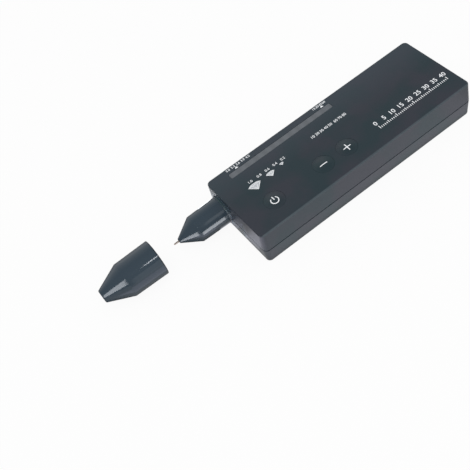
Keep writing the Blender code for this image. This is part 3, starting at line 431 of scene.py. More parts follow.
def evaluated(item, name):
    """The plain mesh that an object's modifiers make, with the object removed."""
    bpy.context.view_layer.update()
    graph = bpy.context.evaluated_depsgraph_get()
    mesh = bpy.data.meshes.new_from_object(item.evaluated_get(graph))
    mesh.name = name
    bpy.data.objects.remove(item, do_unlink=True)
    return mesh


def held(name, data):
    """An object that only holds a mesh or curve while its modifiers work."""
    item = bpy.data.objects.new(name, data)
    bpy.context.scene.collection.objects.link(item)
    return item


def softened(mesh):
    """Smooth shading that keeps sharp edges sharp and flat faces flat."""
    mesh.shade_smooth()
    mesh.set_sharp_from_angle(angle=SHARP_ANGLE)
    item = held(mesh.name, mesh)
    modifier = item.modifiers.new("flats", "WEIGHTED_NORMAL")
    modifier.keep_sharp = True
    return evaluated(item, mesh.name)


def joined(name, meshes):
    """Several meshes as one, each body kept as it is."""
    form = bmesh.new()
    for mesh in meshes:
        form.from_mesh(mesh)
    return stored(form, name)


def carved(name, base, joins=(), cuts=()):
    """A base mesh joined with some closed meshes, and then cut by others."""
    item = held(name, base)
    tools = []
    groups = []
    for operation, meshes in (("UNION", joins), ("DIFFERENCE", cuts)):
        if not meshes:
            continue
        group = bpy.data.collections.new(f"{name}_{operation.lower()}")
        bpy.context.scene.collection.children.link(group)
        groups.append(group)
        for mesh in meshes:
            tool = bpy.data.objects.new(mesh.name, mesh)
            group.objects.link(tool)
            tools.append(tool)
        modifier = item.modifiers.new(operation.lower(), "BOOLEAN")
        modifier.operation = operation
        modifier.solver = "EXACT"
        modifier.operand_type = "COLLECTION"
        modifier.collection = group
    mesh = evaluated(item, name)
    for tool in tools:
        bpy.data.objects.remove(tool, do_unlink=True)
    for group in groups:
        bpy.data.collections.remove(group)
    return mesh


def add_piece(name, mesh, material, body, replaced=()):
    """Puts a finished mesh in the scene as a piece that rides on a body of the frame."""
    mesh.materials.clear()
    mesh.materials.append(material)
    piece = bpy.data.objects.new(name, mesh)
    pieces.objects.link(piece)
    if replaced:
        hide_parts(*replaced)
    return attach(piece, body)


def rounded_outline(length, width, radius):
    """A rectangle with round corners, anticlockwise about its centre."""
    points = []
    for turn, (across, up) in enumerate(((1, 1), (-1, 1), (-1, -1), (1, -1))):
        for step in range(CORNER_STEPS + 1):
            angle = math.radians(90) * (turn + step / CORNER_STEPS)
            x = across * (length / 2 - radius) + radius * math.cos(angle)
            y = up * (width / 2 - radius) + radius * math.sin(angle)
            points.append((x, y))
    return points


def band(form, lower, upper):
    """Joins two rings of equally many vertices by a closed band of faces."""
    for index in range(len(lower)):
        after = (index + 1) % len(lower)
        form.faces.new((lower[index], lower[after], upper[after], upper[index]))


def lofted(name, outlines):
    """A closed solid through level outlines of equal point counts, given as (height, points) from below."""
    form = bmesh.new()
    rings = [[form.verts.new((x, y, height)) for x, y in points] for height, points in outlines]
    for lower, upper in zip(rings, rings[1:]):
        band(form, lower, upper)
    form.faces.new(rings[0][::-1])
    form.faces.new(rings[-1])
    return mesh_from(form, name)


def rounded_block(name, sides, radius, levels, middle=(0, 0), least_radius=0.0):
    """A closed solid in a rounded rectangle that is drawn in by an inset at each (height, inset) level."""
    outlines = []
    for height, inset in levels:
        length, width = (side - 2 * inset for side in sides)
        points = rounded_outline(length, width, max(radius - inset, least_radius))
        outlines.append((height, [(x + middle[0], y + middle[1]) for x, y in points]))
    return lofted(name, outlines)


def case_block(name, levels):
    """A closed solid in the case's outline."""
    sides = (2 * HALF_LENGTH, 2 * HALF_WIDTH)
    return rounded_block(name, sides, CORNER_RADIUS, levels, least_radius=INNER_CORNER_RADIUS)


def quarter(radius):
    """Pairs that run round a quarter circle: how far in, and how far up, from where the rounding starts."""
    angles = [math.radians(90) * step / EDGE_STEPS for step in range(EDGE_STEPS + 1)]
    return [(radius * (1 - math.cos(angle)), radius * math.sin(angle)) for angle in angles]


def box_mesh(name, low, high):
    """A plain box between two corners, for joining or cutting."""
    form = bmesh.new()
    bmesh.ops.create_cube(form, size=1)
    for vertex in form.verts:
        vertex.co = [high[axis] if vertex.co[axis] > 0 else low[axis] for axis in range(3)]
    return mesh_from(form, name)


def rod_mesh(name, radius, start, end, steps=SMALL_ROUND_STEPS):
    """A cylinder from one point to another, for joining or cutting."""
    line = Vector(end) - Vector(start)
    form = bmesh.new()
    sizes = {"radius1": radius, "radius2": radius, "depth": line.length, "segments": steps}
    bmesh.ops.create_cone(form, cap_ends=True, **sizes)
    turn = line.to_track_quat("Z", "Y").to_matrix().to_4x4()
    place = Matrix.Translation(Vector(start) + line / 2) @ turn
    bmesh.ops.transform(form, matrix=place, verts=form.verts[:])
    return mesh_from(form, name)


def centre_of(node):
    low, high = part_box(node)
    return (low + high) / 2


def filleted(corners):
    """Points of a turned profile from (along, radius, fillet) corners, with each fillet as an arc."""
    points = []
    for index, (along, radius, fillet) in enumerate(corners):
        here = Vector((along, radius))
        if not fillet or index in (0, len(corners) - 1):
            points.append(here)
            continue
        before = Vector(corners[index - 1][:2]) - here
        after = Vector(corners[index + 1][:2]) - here
        half = before.angle(after) / 2
        reach = min(fillet / math.tan(half), before.length / 2, after.length / 2)
        centre = (before.normalized() + after.normalized()).normalized() * reach / math.cos(half)
        arm = before.normalized() * reach - centre
        last = after.normalized() * reach - centre
        for step in range(EDGE_STEPS + 1):
            swung = arm.slerp(last, step / EDGE_STEPS).normalized()
            points.append(here + centre + swung * arm.length)
    return points


class Growth(Tree):
    """A Geometry Nodes tree with named inputs that ends in Realize Instances and Set Material."""

    def __init__(self, name, numbers):
        super().__init__(bpy.data.node_groups.new(name, "GeometryNodeTree"))
        sockets = [("Geometry", "INPUT", "Geometry"), *((label, "INPUT", kind) for label, kind in numbers)]
        sockets += [("Material", "INPUT", "Material"), ("Geometry", "OUTPUT", "Geometry")]
        self.names = {}
        for label, way, kind in sockets:
            made = self.tree.interface.new_socket(name=label, in_out=way, socket_type=f"NodeSocket{kind}")
            self.names[label] = made.identifier

    def given(self, label):
        return self.add("NodeGroupInput", output=label)

    def end(self, geometry):
        whole = self.add("GeometryNodeRealizeInstances", {}, {"Geometry": geometry})
        sockets = {"Geometry": whole, "Material": self.given("Material")}
        dressed = self.add("GeometryNodeSetMaterial", {}, sockets)
        self.add("NodeGroupOutput", {}, {0: dressed})
        return self

    def grown(self, name, seed_mesh, material, **values):
        """The plain mesh that the tree makes of a seed mesh, with its inputs set by name."""
        item = held(name, seed_mesh)
        modifier = item.modifiers.new("growth", "NODES")
        modifier.node_group = self.tree
        modifier[self.names["Material"]] = material
        for label, value in values.items():
            modifier[self.names[label.replace("_", " ").capitalize()]] = value
        return evaluated(item, name)


def turning_growth():
    """Turns a profile of joined points, given as (radius, 0, height), about the Z axis."""
    growth = Growth("turned_piece", (("Steps", "Int"), ("Weld", "Float")))
    profile, steps = growth.given("Geometry"), growth.given("Steps")
    count = growth.add("GeometryNodeAttributeDomainSize", {}, {"Geometry": profile})
    last = count - 1.0
    sizes = {"Size X": last, "Size Y": steps, "Vertices X": count, "Vertices Y": steps + 1.0}
    grid = growth.add("GeometryNodeMeshGrid", {}, sizes)
    position = growth.add("GeometryNodeInputPosition")
    row = growth.maths("ROUND", growth.part(position, 0) + last / 2.0)
    angle = (growth.part(position, 1) + steps / 2.0) / steps * math.tau
    sampled = {"data_type": "FLOAT_VECTOR", "domain": "POINT"}
    sockets = {"Geometry": profile, "Value": position, "Index": row}
    spot = growth.add("GeometryNodeSampleIndex", sampled, sockets)
    radius, height = growth.part(spot, 0), growth.part(spot, 2)
    across = radius * growth.maths("COSINE", angle)
    up = radius * growth.maths("SINE", angle)
    ring = growth.add("ShaderNodeCombineXYZ", {}, {0: across, 1: up, 2: height})
    wrapped = growth.add("GeometryNodeSetPosition", {}, {"Geometry": grid, "Position": ring})
    sockets = {"Geometry": wrapped, "Distance": growth.given("Weld")}
    return growth.end(growth.add("GeometryNodeMergeByDistance", {}, sockets))


def row_growth():
    """Repeats a seed mesh at even steps along a line, with some of the copies longer than the rest."""
    numbers = [("Count", "Int"), ("Pitch", "Vector")]
    numbers += [(f"{which} every", "Int") for which in ("Longer", "Longest")]
    numbers += [(f"{which} scale", "Float") for which in ("Longer", "Longest")]
    growth = Growth("row_of_copies", numbers)
    line_sockets = {"Count": growth.given("Count"), "Offset": growth.given("Pitch")}
    line = growth.add("GeometryNodeMeshLine", {"mode": "OFFSET"}, line_sockets)
    index = growth.add("GeometryNodeInputIndex")
    length = 1.0
    for which in ("Longer", "Longest"):
        rest = growth.maths("MODULO", index, growth.given(f"{which} every"))
        length = (rest < 0.5) * (growth.given(f"{which} scale") - length) + length
    scale = growth.add("ShaderNodeCombineXYZ", {}, {0: 1.0, 1: length, 2: 1.0})
    sockets = {"Points": line, "Instance": growth.given("Geometry"), "Scale": scale}
    return growth.end(growth.add("GeometryNodeInstanceOnPoints", {}, sockets))


def scatter_growth():
    """Puts a copy of one seed object's mesh at each point of the given mesh."""
    growth = Growth("fasteners", (("Fastener", "Object"), ("Turn", "Float")))
    seed = growth.add("GeometryNodeObjectInfo", {}, {"Object": growth.given("Fastener")}, output="Geometry")
    turn = growth.add("GeometryNodeInputIndex") * growth.given("Turn")
    spin = growth.add("ShaderNodeCombineXYZ", {}, {2: turn})
    sockets = {"Points": growth.given("Geometry"), "Instance": seed, "Rotation": spin}
    return growth.end(growth.add("GeometryNodeInstanceOnPoints", {}, sockets))


def wire_growth():
    """Gives a path of joined points a round wire's thickness."""
    growth = Growth("bent_wire", (("Wire radius", "Float"), ("Sides", "Int")))
    path = growth.add("GeometryNodeMeshToCurve", {}, {0: growth.given("Geometry")})
    round_sockets = {"Resolution": growth.given("Sides"), "Radius": growth.given("Wire radius")}
    section = growth.add("GeometryNodeCurvePrimitiveCircle", {}, round_sockets)
    return growth.end(growth.add("GeometryNodeCurveToMesh", {}, {0: path, 1: section, "Fill Caps": True}))


def points_mesh(name, points, in_line=True):
    """A mesh of one line through some points, or of the loose points, for a tree to work on."""
    edges = [(index, index + 1) for index in range(len(points) - 1)] if in_line else []
    mesh = bpy.data.meshes.new(name)
    mesh.from_pydata(points, edges, [])
    return mesh


def placed(mesh, place):
    """Moves a mesh's points by a matrix, so that its object can stay at the origin."""
    form = bmesh.new()
    form.from_mesh(mesh)
    bmesh.ops.transform(form, matrix=place, verts=form.verts[:])
    return mesh_from(form, mesh.name)


def turned(name, corners, material, steps=ROUND_STEPS, place=ALONG_PROBE):
    """A finished turned mesh from (along, radius, fillet) corners, set on an axis by its place."""
    profile = points_mesh(f"{name}_profile", [(radius, 0, along) for along, radius in filleted(corners)])
    return softened(placed(TURNING.grown(name, profile, material, steps=steps, weld=WELD), place))


TURNING = turning_growth()
ROW = row_growth()
SCATTER = scatter_growth()
WIRE = wire_growth()


# What each slot of the record looks like: colour, roughness, metallic, drift, grain scale and grain depth
SLOT_FINISHES = {
    "board_laminate": ((0.012, 0.115, 0.045), 0.34, 0.0, 0.22, 900.0, 0.000020),
    "chip_resin": ((0.016, 0.016, 0.018), 0.58, 0.0, 0.18, 3000.0, 0.000012),
    "can_metal": ((0.660, 0.660, 0.670), 0.32, 1.0, 0.06, 1800.0, 0.000006),
    "battery_foil": ((0.520, 0.540, 0.560), 0.38, 0.85, 0.10, 420.0, 0.000030),
    "foam": ((0.040, 0.040, 0.045), 0.92, 0.0, 0.35, 1600.0, 0.000120),
    "white_plastic": ((0.760, 0.740, 0.680), 0.46, 0.0, 0.05, 2400.0, 0.000010),
    "red_sleeve": ((0.560, 0.022, 0.014), 0.42, 0.0, 0.10, 1500.0, 0.000010),
    "black_sleeve": ((0.012, 0.012, 0.013), 0.42, 0.0, 0.15, 1500.0, 0.000010),
    "ceramic": ((0.760, 0.740, 0.700), 0.55, 0.0, 0.06, 2800.0, 0.000014),
    "spring_steel": ((0.480, 0.480, 0.490), 0.24, 1.0, 0.08, 2600.0, 0.000006),
    "enamel": ((0.430, 0.140, 0.045), 0.34, 0.0, 0.12, 1500.0, 0.000006),
    "switch_steel": ((0.560, 0.560, 0.570), 0.34, 1.0, 0.07, 2200.0, 0.000006),
    "plunger_plastic": ((0.020, 0.020, 0.022), 0.48, 0.0, 0.15, 2600.0, 0.000010),
    "lamp_resin": ((0.680, 0.710, 0.690), 0.24, 0.0, 0.05, 1200.0, 0.000004),
}

# Keys, whose crown follows the frame's
KEYS = ("power", "minus", "plus")
KEY_RADIUS = 0.0047
KEY_RISE = 0.0005
KEY_CROWN_STEPS = 10
KEY_CROWN_POWER = 1.7
KEY_SHOULDER_RADIUS = 0.00497
KEY_SHOULDER_DROP = 0.00007
KEY_SHOULDER_FILLET = 0.00005
KEY_HOLE_FLARE = 0.00002
KEY_FLANGE_RADIUS = 0.0058
KEY_FLANGE_THICKNESS = 0.0008
KEY_STEM_RADIUS = 0.0016

# Window, whose pane stands in a slot and whose flange hangs under the ceiling
WINDOW_LOW, WINDOW_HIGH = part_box("light_window")
WINDOW_FLANGE_WIDTH = 0.0008
WINDOW_FLANGE_THICKNESS = 0.0006
WINDOW_LENGTH = WINDOW_HIGH.x - WINDOW_LOW.x - 2 * WINDOW_FLANGE_WIDTH
WINDOW_WIDTH = WINDOW_HIGH.y - WINDOW_LOW.y - 2 * WINDOW_FLANGE_WIDTH
WINDOW_X = (WINDOW_LOW.x + WINDOW_HIGH.x) / 2
WINDOW_Y = (WINDOW_LOW.y + WINDOW_HIGH.y) / 2
WINDOW_CORNER_RADIUS = 0.0005
WINDOW_CLEARANCE = 0.0002
WINDOW_EDGE = 0.00015
WINDOW_FILL = 0.00015
SLOT_FLARE = 0.00012

# Probe and cap
SLEEVE_NECK_FRONT = HALF_LENGTH - TOP_DRAFT
SLEEVE_NECK_REAR = HALF_LENGTH - WALL - SEAT_GAP
SLEEVE_SHOULDER = 0.0752
SLEEVE_TIP_RADIUS = 0.0011
SLEEVE_SHOULDER_RADIUS = 0.0066
SLEEVE_ROOT_RADIUS = 0.0069
COLLAR_RADIUS = 0.0073
COLLAR_REACH = 0.0005
COLLAR_FIT = 0.00003
COLLAR_FILLET = 0.00015
SLEEVE_NECK_RADIUS = 0.0061
SLEEVE_FLANGE_RADIUS = 0.0066
SLEEVE_BORE_RADIUS = 0.0042
SLEEVE_BORE_FRONT = 0.0730
NEEDLE_LOW, NEEDLE_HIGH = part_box("probe_needle")
NEEDLE_RADIUS = 0.0004
NEEDLE_TIP_RADIUS = 0.0002
NEEDLE_TIP_FILLET = 0.00012
NEEDLE_TAPER = 0.0007
NEEDLE_HOLE_RADIUS = 0.0006
NEEDLE_COLLAR_LENGTH = 0.0020
NEEDLE_COLLAR_RADIUS = 0.0039
SPRING_LOW, SPRING_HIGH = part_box("probe_spring")
SPRING_WIRE_RADIUS = 0.00025
SPRING_WIRE_SIDES = 12
SPRING_TURNS = 7
SPRING_DEAD_TURNS = 0.75
CAP_LOW, CAP_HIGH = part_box("probe_cap")
CAP_SHOULDER = 0.1138
CAP_MOUTH_RADIUS = 0.00875
CAP_SHOULDER_RADIUS = 0.0085
CAP_TIP_RADIUS = 0.0031
CAP_TIP_FILLET = 0.0007
CAP_INNER_SHOULDER = CAP_SHOULDER - 0.0003
CAP_INNER_RADIUS = 0.0072
CAP_INNER_TIP_RADIUS = 0.0019
CAP_END_WALL = 0.0017
# Painted shade on the cap's mouth rim: how far it reaches in and over what width it fades
CAP_RIM_SHADE_REACH = 0.00055
CAP_RIM_SHADE_FADE = 0.00025

# Inlet, from its box
INLET_LOW, INLET_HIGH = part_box("charging_socket")
INLET_SIDES = (INLET_HIGH.y - INLET_LOW.y, INLET_HIGH.z - INLET_LOW.z)
INLET_Z = centre_of("charging_socket").z
INLET_WALL = 0.0003
INLET_CORNER_RADIUS = 0.0012
INLET_BACK = 0.0015
TONGUE_LENGTH = 0.0045
TONGUE_WIDTH = 0.0066
TONGUE_THICKNESS = 0.0007
TONGUE_CHAMFER = 0.00015
RESIN_BLACK = (0.014, 0.014, 0.016)
CONTACT_GOLD = (0.72, 0.50, 0.20)
CONTACT_COUNT = 12
CONTACT_PITCH = 0.0005
CONTACT_LENGTH = 0.0032
CONTACT_HALF_WIDTH = 0.00012
CONTACT_RISE = 0.00003
CONTACT_SETBACK = 0.0004
ALONG_TAIL = Matrix(((0, 0, 1, 0), (1, 0, 0, 0), (0, 1, 0, 0), (0, 0, 0, 1)))

# Screws: the nodes of each kind, and its sizes
Screws = namedtuple("Screws", "nodes head_radius head_height radius length")
CASE_SCREWS = Screws([f"case_screw_{index}" for index in range(1, 5)], 0.0018, 0.0013, 0.0010, 0.0090)
BOARD_SCREWS = Screws([f"board_screw_{index}" for index in range(1, 4)], 0.0015, 0.0010, 0.0008, 0.0050)
HEAD_FLAT_SHARE = 0.7
HEAD_EDGE_SHARE = 0.45
THREAD_PITCH = 0.0005
THREAD_ROOT_SHARE = 0.82
SCREW_END_SHARE = 0.7
CROSS_REACH_SHARE = 0.6
CROSS_HALF_WIDTH = 0.00022
CROSS_DEPTH = 0.0006
SCREW_STEPS = 36
SCREW_TURN = math.radians(37)
HEAD_HOLE_FLARE = 0.00015

# Prints stand a film's thickness above what they are on, and are rooted a little way in it
PRINT_RISE = 0.00002
PRINT_SINK = 0.00006
STROKE_STEP = 0.0006
MITRE_LIMIT = 0.3


def round_block(name, x, y, levels, steps=ROUND_STEPS):
    """A closed upright solid through round levels, given as (height, radius) from below."""
    outlines = []
    for height, radius in levels:
        angles = [math.tau * step / steps for step in range(steps)]
        outlines.append((height, [(x + radius * math.cos(a), y + radius * math.sin(a)) for a in angles]))
    return lofted(name, outlines)


def ring_block(name, low, high, outer_inset, inner_inset):
    """A closed wall in the case's outline, between two insets."""
    form = bmesh.new()
    rings = []
    for inset, height in ((outer_inset, low), (outer_inset, high), (inner_inset, high), (inner_inset, low)):
        points = rounded_outline(2 * (HALF_LENGTH - inset), 2 * (HALF_WIDTH - inset), INNER_CORNER_RADIUS)
        rings.append([form.verts.new((x, y, height)) for x, y in points])
    for first, second in zip(rings, rings[1:] + rings[:1]):
        band(form, first, second)
    return mesh_from(form, name)


def inlet_block(name, sides, radius, levels):
    """A closed solid along the inlet, with its (x, inset) levels given from the tail's end."""
    return placed(rounded_block(name, sides, radius, levels, (0, INLET_Z)), ALONG_TAIL)


def inlet_way():
    """The way through the tail wall for the inlet, a little wider at the outside."""
    levels = (
        (-HALF_LENGTH - OVERRUN, -2 * SEAT_GAP),
        (-HALF_LENGTH + SEAT_GAP, -SEAT_GAP),
        (-HALF_LENGTH + WALL + OVERRUN, -SEAT_GAP),
    )
    return inlet_block("inlet_way", INLET_SIDES, INLET_CORNER_RADIUS, levels)


def window_block(name, levels):
    """A closed solid in the light window's outline."""
    sides = (WINDOW_LENGTH, WINDOW_WIDTH)
    return rounded_block(name, sides, WINDOW_CORNER_RADIUS, levels, (WINDOW_X, WINDOW_Y))


def probe_ways():
    """Ways through the nose wall and the rib behind it for the probe's neck, flange and leads."""
    centre = (PROBE_Y, PROBE_Z)
    pocket_rear = SLEEVE_LOW.x - SEAT_GAP
    ways = (
        (SLEEVE_NECK_RADIUS + SEAT_GAP, SLEEVE_NECK_REAR, HALF_LENGTH + OVERRUN),
        (SLEEVE_FLANGE_RADIUS + SEAT_GAP, pocket_rear, HALF_LENGTH - WALL),
        (SLEEVE_BORE_RADIUS + THREAD_CLEARANCE, pocket_rear - 2 * OVERRUN - WALL, pocket_rear + OVERRUN),
    )
    return [
        rod_mesh("probe_way", radius, (rear, *centre), (front, *centre), ROUND_STEPS)
        for radius, rear, front in ways
    ]


def retainer_rib(low, high):
    """The rib across the case that backs the probe's flange."""
    front = SLEEVE_LOW.x - SEAT_GAP
    last = centre_of("case_screw_2").y
    return box_mesh("retainer", (front - RIB_THICKNESS, RIB_END, low), (front, last, high))


def upper_levels(settings):
    """The upper shell's levels, from its rim at the seam to the rounded edge of its face."""
    rise = FACE - UPPER_RIM
    levels = [
        (UPPER_RIM, settings.seam_chamfer),
        (UPPER_RIM + settings.seam_chamfer, TOP_DRAFT * settings.seam_chamfer / rise),
    ]
    for inward, upward in quarter(settings.top_edge):
        height = FACE - settings.top_edge + upward
        levels.append((height, TOP_DRAFT * (height - UPPER_RIM) / rise + inward))
    return levels


def lower_levels(settings):
    """The lower shell's levels, from its rounded base edge to its rim at the seam."""
    levels = []
    for inward, upward in reversed(quarter(settings.base_edge)):
        height = settings.base_edge - upward
        levels.append((height, BASE_DRAFT * (1 - height / LOWER_RIM) + inward))
    chamfer = settings.seam_chamfer
    levels.append((LOWER_RIM - chamfer, BASE_DRAFT * chamfer / LOWER_RIM))
    levels.append((LOWER_RIM, chamfer))
    return levels


def make_upper_shell(settings):
    shell = case_block("upper_case", upper_levels(settings))
    cavity = case_block("cavity", [(UPPER_RIM - OVERRUN, WALL), (CEILING, WALL + TOP_DRAFT)])
    shell = carved("upper_case", shell, cuts=[cavity])
    rooted = CEILING + WALL / 2
    rebate_insets = (WALL - LIP_THICKNESS - SEAT_GAP, WALL + SEAT_GAP)
    rebate = ring_block("rebate", SEAM - OVERRUN, SEAM + LIP_HEIGHT + SEAT_GAP, *rebate_insets)
    joins, cuts = [], [rebate, inlet_way(), *probe_ways()]
    supports = (
        (CASE_SCREWS, POST_RADIUS, UPPER_RIM),
        (BOARD_SCREWS, STANDOFF_RADIUS, CEILING - STANDOFF_DROP),
    )
    for screws, radius, low in supports:
        pilot_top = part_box(screws.nodes[0])[1].z + SEAT_GAP
        for node in screws.nodes:
            x, y = centre_of(node).xy
            joins.append(round_block("support", x, y, [(low, radius), (rooted, radius)]))
            cuts.append(rod_mesh("pilot", screws.radius + THREAD_CLEARANCE, (x, y, 0), (x, y, pilot_top)))
    joins.append(retainer_rib(UPPER_RIM, rooted))
    for key in KEYS:
        spot = centre_of(f"{key}_button")
        radius = KEY_RADIUS + SEAT_GAP
        wide = radius + KEY_HOLE_FLARE + OVERRUN
        levels = [(CEILING - OVERRUN, radius), (FACE - KEY_HOLE_FLARE, radius), (FACE + OVERRUN, wide)]
        cuts.append(round_block("key_hole", spot.x, spot.y, levels))
    levels = (
        (CEILING - OVERRUN, -WINDOW_CLEARANCE),
        (FACE - SLOT_FLARE, -WINDOW_CLEARANCE),
        (FACE + OVERRUN, -WINDOW_CLEARANCE - SLOT_FLARE - OVERRUN),
    )
    cuts.append(window_block("window_slot", levels))
    return softened(carved("upper_case", shell, joins, cuts))


def battery_fence(rooted):
    """Four low walls that keep the battery in its place."""
    low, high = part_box("battery")
    inner, outer = FENCE_CLEARANCE, FENCE_CLEARANCE + FENCE_THICKNESS
    walls = []
    for x, y in ((low.x - outer, low.y - outer), (high.x + inner, high.y + inner)):
        end = (high.x + outer, y + FENCE_THICKNESS, FENCE_TOP)
        walls.append(box_mesh("fence", (low.x - outer, y, rooted), end))
        end = (x + FENCE_THICKNESS, high.y + inner, FENCE_TOP)
        walls.append(box_mesh("fence", (x, low.y - inner, rooted), end))
    return walls


def make_lower_shell(settings):
    shell = case_block("lower_case", lower_levels(settings))
    lip_inset = WALL - LIP_THICKNESS
    lip_top = SEAM + LIP_HEIGHT
    lip = case_block("lip", [(WALL, lip_inset + BASE_DRAFT), (lip_top, lip_inset)])
    cavity = case_block("cavity", [(WALL, WALL + BASE_DRAFT), (lip_top + OVERRUN, WALL)])
    shell = carved("lower_case", shell, joins=[lip], cuts=[cavity])
    rooted = WALL / 2
    head_low, head_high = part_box(CASE_SCREWS.nodes[0])
    head_radius = (head_high.x - head_low.x) / 2 + SEAT_GAP
    head_top = head_low.z + CASE_SCREWS.head_height + SEAT_GAP
    mouth = head_radius + OVERRUN + HEAD_HOLE_FLARE
    head_levels = [(-OVERRUN, mouth), (HEAD_HOLE_FLARE, head_radius), (head_top, head_radius)]
    joins, cuts = [], [inlet_way(), *probe_ways()]
    for node in CASE_SCREWS.nodes:
        x, y = centre_of(node).xy
        joins.append(round_block("post", x, y, [(rooted, POST_RADIUS), (LOWER_RIM, POST_RADIUS)]))
        cuts.append(round_block("head_hole", x, y, head_levels, SMALL_ROUND_STEPS))
        cuts.append(rod_mesh("shank_hole", CASE_SCREWS.radius + SEAT_GAP, (x, y, rooted), (x, y, FACE)))
    joins += [retainer_rib(rooted, LOWER_RIM), *battery_fence(rooted)]
    return softened(carved("lower_case", shell, joins, cuts))


def screw_mesh(name, screws, material):
    """A pan-head screw with a cross recess and a thread, its head's face at the origin and its shank up."""
    wide, tall, radius = screws.head_radius, screws.head_height, screws.radius
    end = tall + screws.length
    corners = [(0, 0, 0), (0, HEAD_FLAT_SHARE * wide, SMALL_FILLET)]
    corners += [(HEAD_EDGE_SHARE * tall, wide, SMALL_FILLET), (tall, wide, 0), (tall, radius, 0)]
    for index in range(int(screws.length / THREAD_PITCH) - 1):
        along = tall + THREAD_PITCH * (index + 0.5)
        corners += [(along, THREAD_ROOT_SHARE * radius, 0), (along + THREAD_PITCH / 2, radius, 0)]
    corners += [(end, SCREW_END_SHARE * radius, 0), (end, 0, 0)]
    head = turned(name, corners, material, SCREW_STEPS, Matrix.Identity(4))
    reach = CROSS_REACH_SHARE * wide
    arms = []
    for across, up in ((reach, CROSS_HALF_WIDTH), (CROSS_HALF_WIDTH, reach)):
        arms.append(box_mesh("cross", (-across, -up, -OVERRUN), (across, up, CROSS_DEPTH)))
    return softened(carved(name, head, cuts=arms))


def screw_set(name, screws, material):
    """One mesh of like screws, each on its place in the frame, with its cross turned a little further."""
    seed = held(f"{name}_seed", screw_mesh(f"{name}_seed", screws, material))
    spots = [(*centre_of(node).xy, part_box(node)[0].z) for node in screws.nodes]
    spots = points_mesh(f"{name}_spots", spots, in_line=False)
    mesh = SCATTER.grown(name, spots, material, fastener=seed, turn=SCREW_TURN)
    bpy.data.objects.remove(seed, do_unlink=True)
    return mesh


def on_face(x, y):
    """The height of the case's face, which is the same all over."""
    return FACE


def key_rise(share):
    """How far a key's dome stands above the case's face, at a share of its radius."""
    return KEY_RISE * max(0.0, 1 - share**2) ** KEY_CROWN_POWER


def on_key(key):
    """The height of a key's dome over its place."""
    spot = centre_of(f"{key}_button")
    return lambda x, y: FACE + key_rise(math.hypot(x - spot.x, y - spot.y) / KEY_RADIUS)


def read_at(x, y, points):
    """Turns points of a mark, across and up as it is read, to places on the face, read towards the tail."""
    return [Vector((x - across, y - up)) for across, up in points]


def plate(form, outline, surface):
    """Adds a closed film with this outline to a form."""
    lower = [form.verts.new((x, y, surface(x, y) - PRINT_SINK)) for x, y in outline]
    upper = [form.verts.new((x, y, surface(x, y) + PRINT_RISE)) for x, y in outline]
    band(form, lower, upper)
    form.faces.new(upper)
    form.faces.new(lower[::-1])


def stroke(form, points, width, surface, closed=False):
    """Adds a closed film of even width along these points to a form, with mitred corners."""
    ends = points[1:] + points[:1] if closed else points[1:]
    path = []
    for start, end in zip(points, ends):
        steps = max(1, math.ceil((end - start).length / STROKE_STEP))
        path += [start.lerp(end, step / steps) for step in range(steps)]
    if not closed:
        path.append(points[-1])
    count = len(path)
    sections = []
    for index, here in enumerate(path):
        lines = []
        if index or closed:
            lines.append((here - path[index - 1]).normalized())
        if index < count - 1 or closed:
            lines.append((path[(index + 1) % count] - here).normalized())
        middle = sum(lines, Vector((0, 0))).normalized()
        across = Vector((-middle.y, middle.x))
        lengthened = width / 2 / max(MITRE_LIMIT, math.sqrt((1 + lines[0].dot(lines[-1])) / 2))
        section = []
        for side, drop in ((1, PRINT_RISE), (-1, PRINT_RISE), (-1, -PRINT_SINK), (1, -PRINT_SINK)):
            x, y = here + side * lengthened * across
            section.append(form.verts.new((x, y, surface(x, y) + drop)))
        sections.append(section)
    for first, second in zip(sections, sections[1:] + sections[:1] if closed else sections[1:]):
        band(form, first, second)
    if not closed:
        form.faces.new(sections[0])
        form.faces.new(sections[-1][::-1])


def numerals(text, x, y, height, weight):
    """A number in plain type as a thin closed mesh, centred on its place, read towards the tail."""
    curve = bpy.data.curves.new(f"number_{text}", "FONT")
    curve.body = text
    curve.align_x = "CENTER"
    curve.align_y = "CENTER"
    curve.resolution_u = 4
    curve.extrude = 0.1
    curve.offset = weight
    mesh = evaluated(held(curve.name, curve), curve.name)
    form = bmesh.new()
    form.from_mesh(mesh)
    tall = [vertex.co.y for vertex in form.verts]
    wide = [vertex.co.x for vertex in form.verts]
    scale = height / (max(tall) - min(tall))
    middle = Vector(((max(wide) + min(wide)) / 2, (max(tall) + min(tall)) / 2))
    for vertex in form.verts:
        vertex.co.x = x - (vertex.co.x - middle.x) * scale
        vertex.co.y = y - (vertex.co.y - middle.y) * scale
        vertex.co.z = FACE + (PRINT_RISE if vertex.co.z > 0 else -PRINT_SINK)
    return mesh_from(form, curve.name)


def number_row(numbers, row):
    """Meshes of a row of numbers, from (text, x) pairs and the row's y, its type's height and its weight."""
    return [numerals(text, x, *row) for text, x in numbers]


def swatch(name, description, default):
    """A colour among the settings."""
    return bpy.props.FloatVectorProperty(
        name=name, description=description, default=default, subtype="COLOR", size=3
    )


def number(name, description, default, subtype="NONE"):
    """A length, a share or a plain number among the settings."""
    return bpy.props.FloatProperty(name=name, description=description, default=default, subtype=subtype)


class TesterCase(bpy.types.PropertyGroup):
    """Sizes and finish of the two case shells."""

    colour: swatch("Colour", "Colour of the case", (0.0120, 0.0228, 0.0325))
    roughness: number("Roughness", "Roughness of the fine moulded grain", 0.42, "FACTOR")
    top_edge: number("Face edge", "Rounding of the face's edge", 0.0007, "DISTANCE")
    base_edge: number("Base edge", "Rounding of the base's edge", 0.0010, "DISTANCE")
    seam_chamfer: number("Seam chamfer", "Chamfer each side of the seam", 0.00012, "DISTANCE")


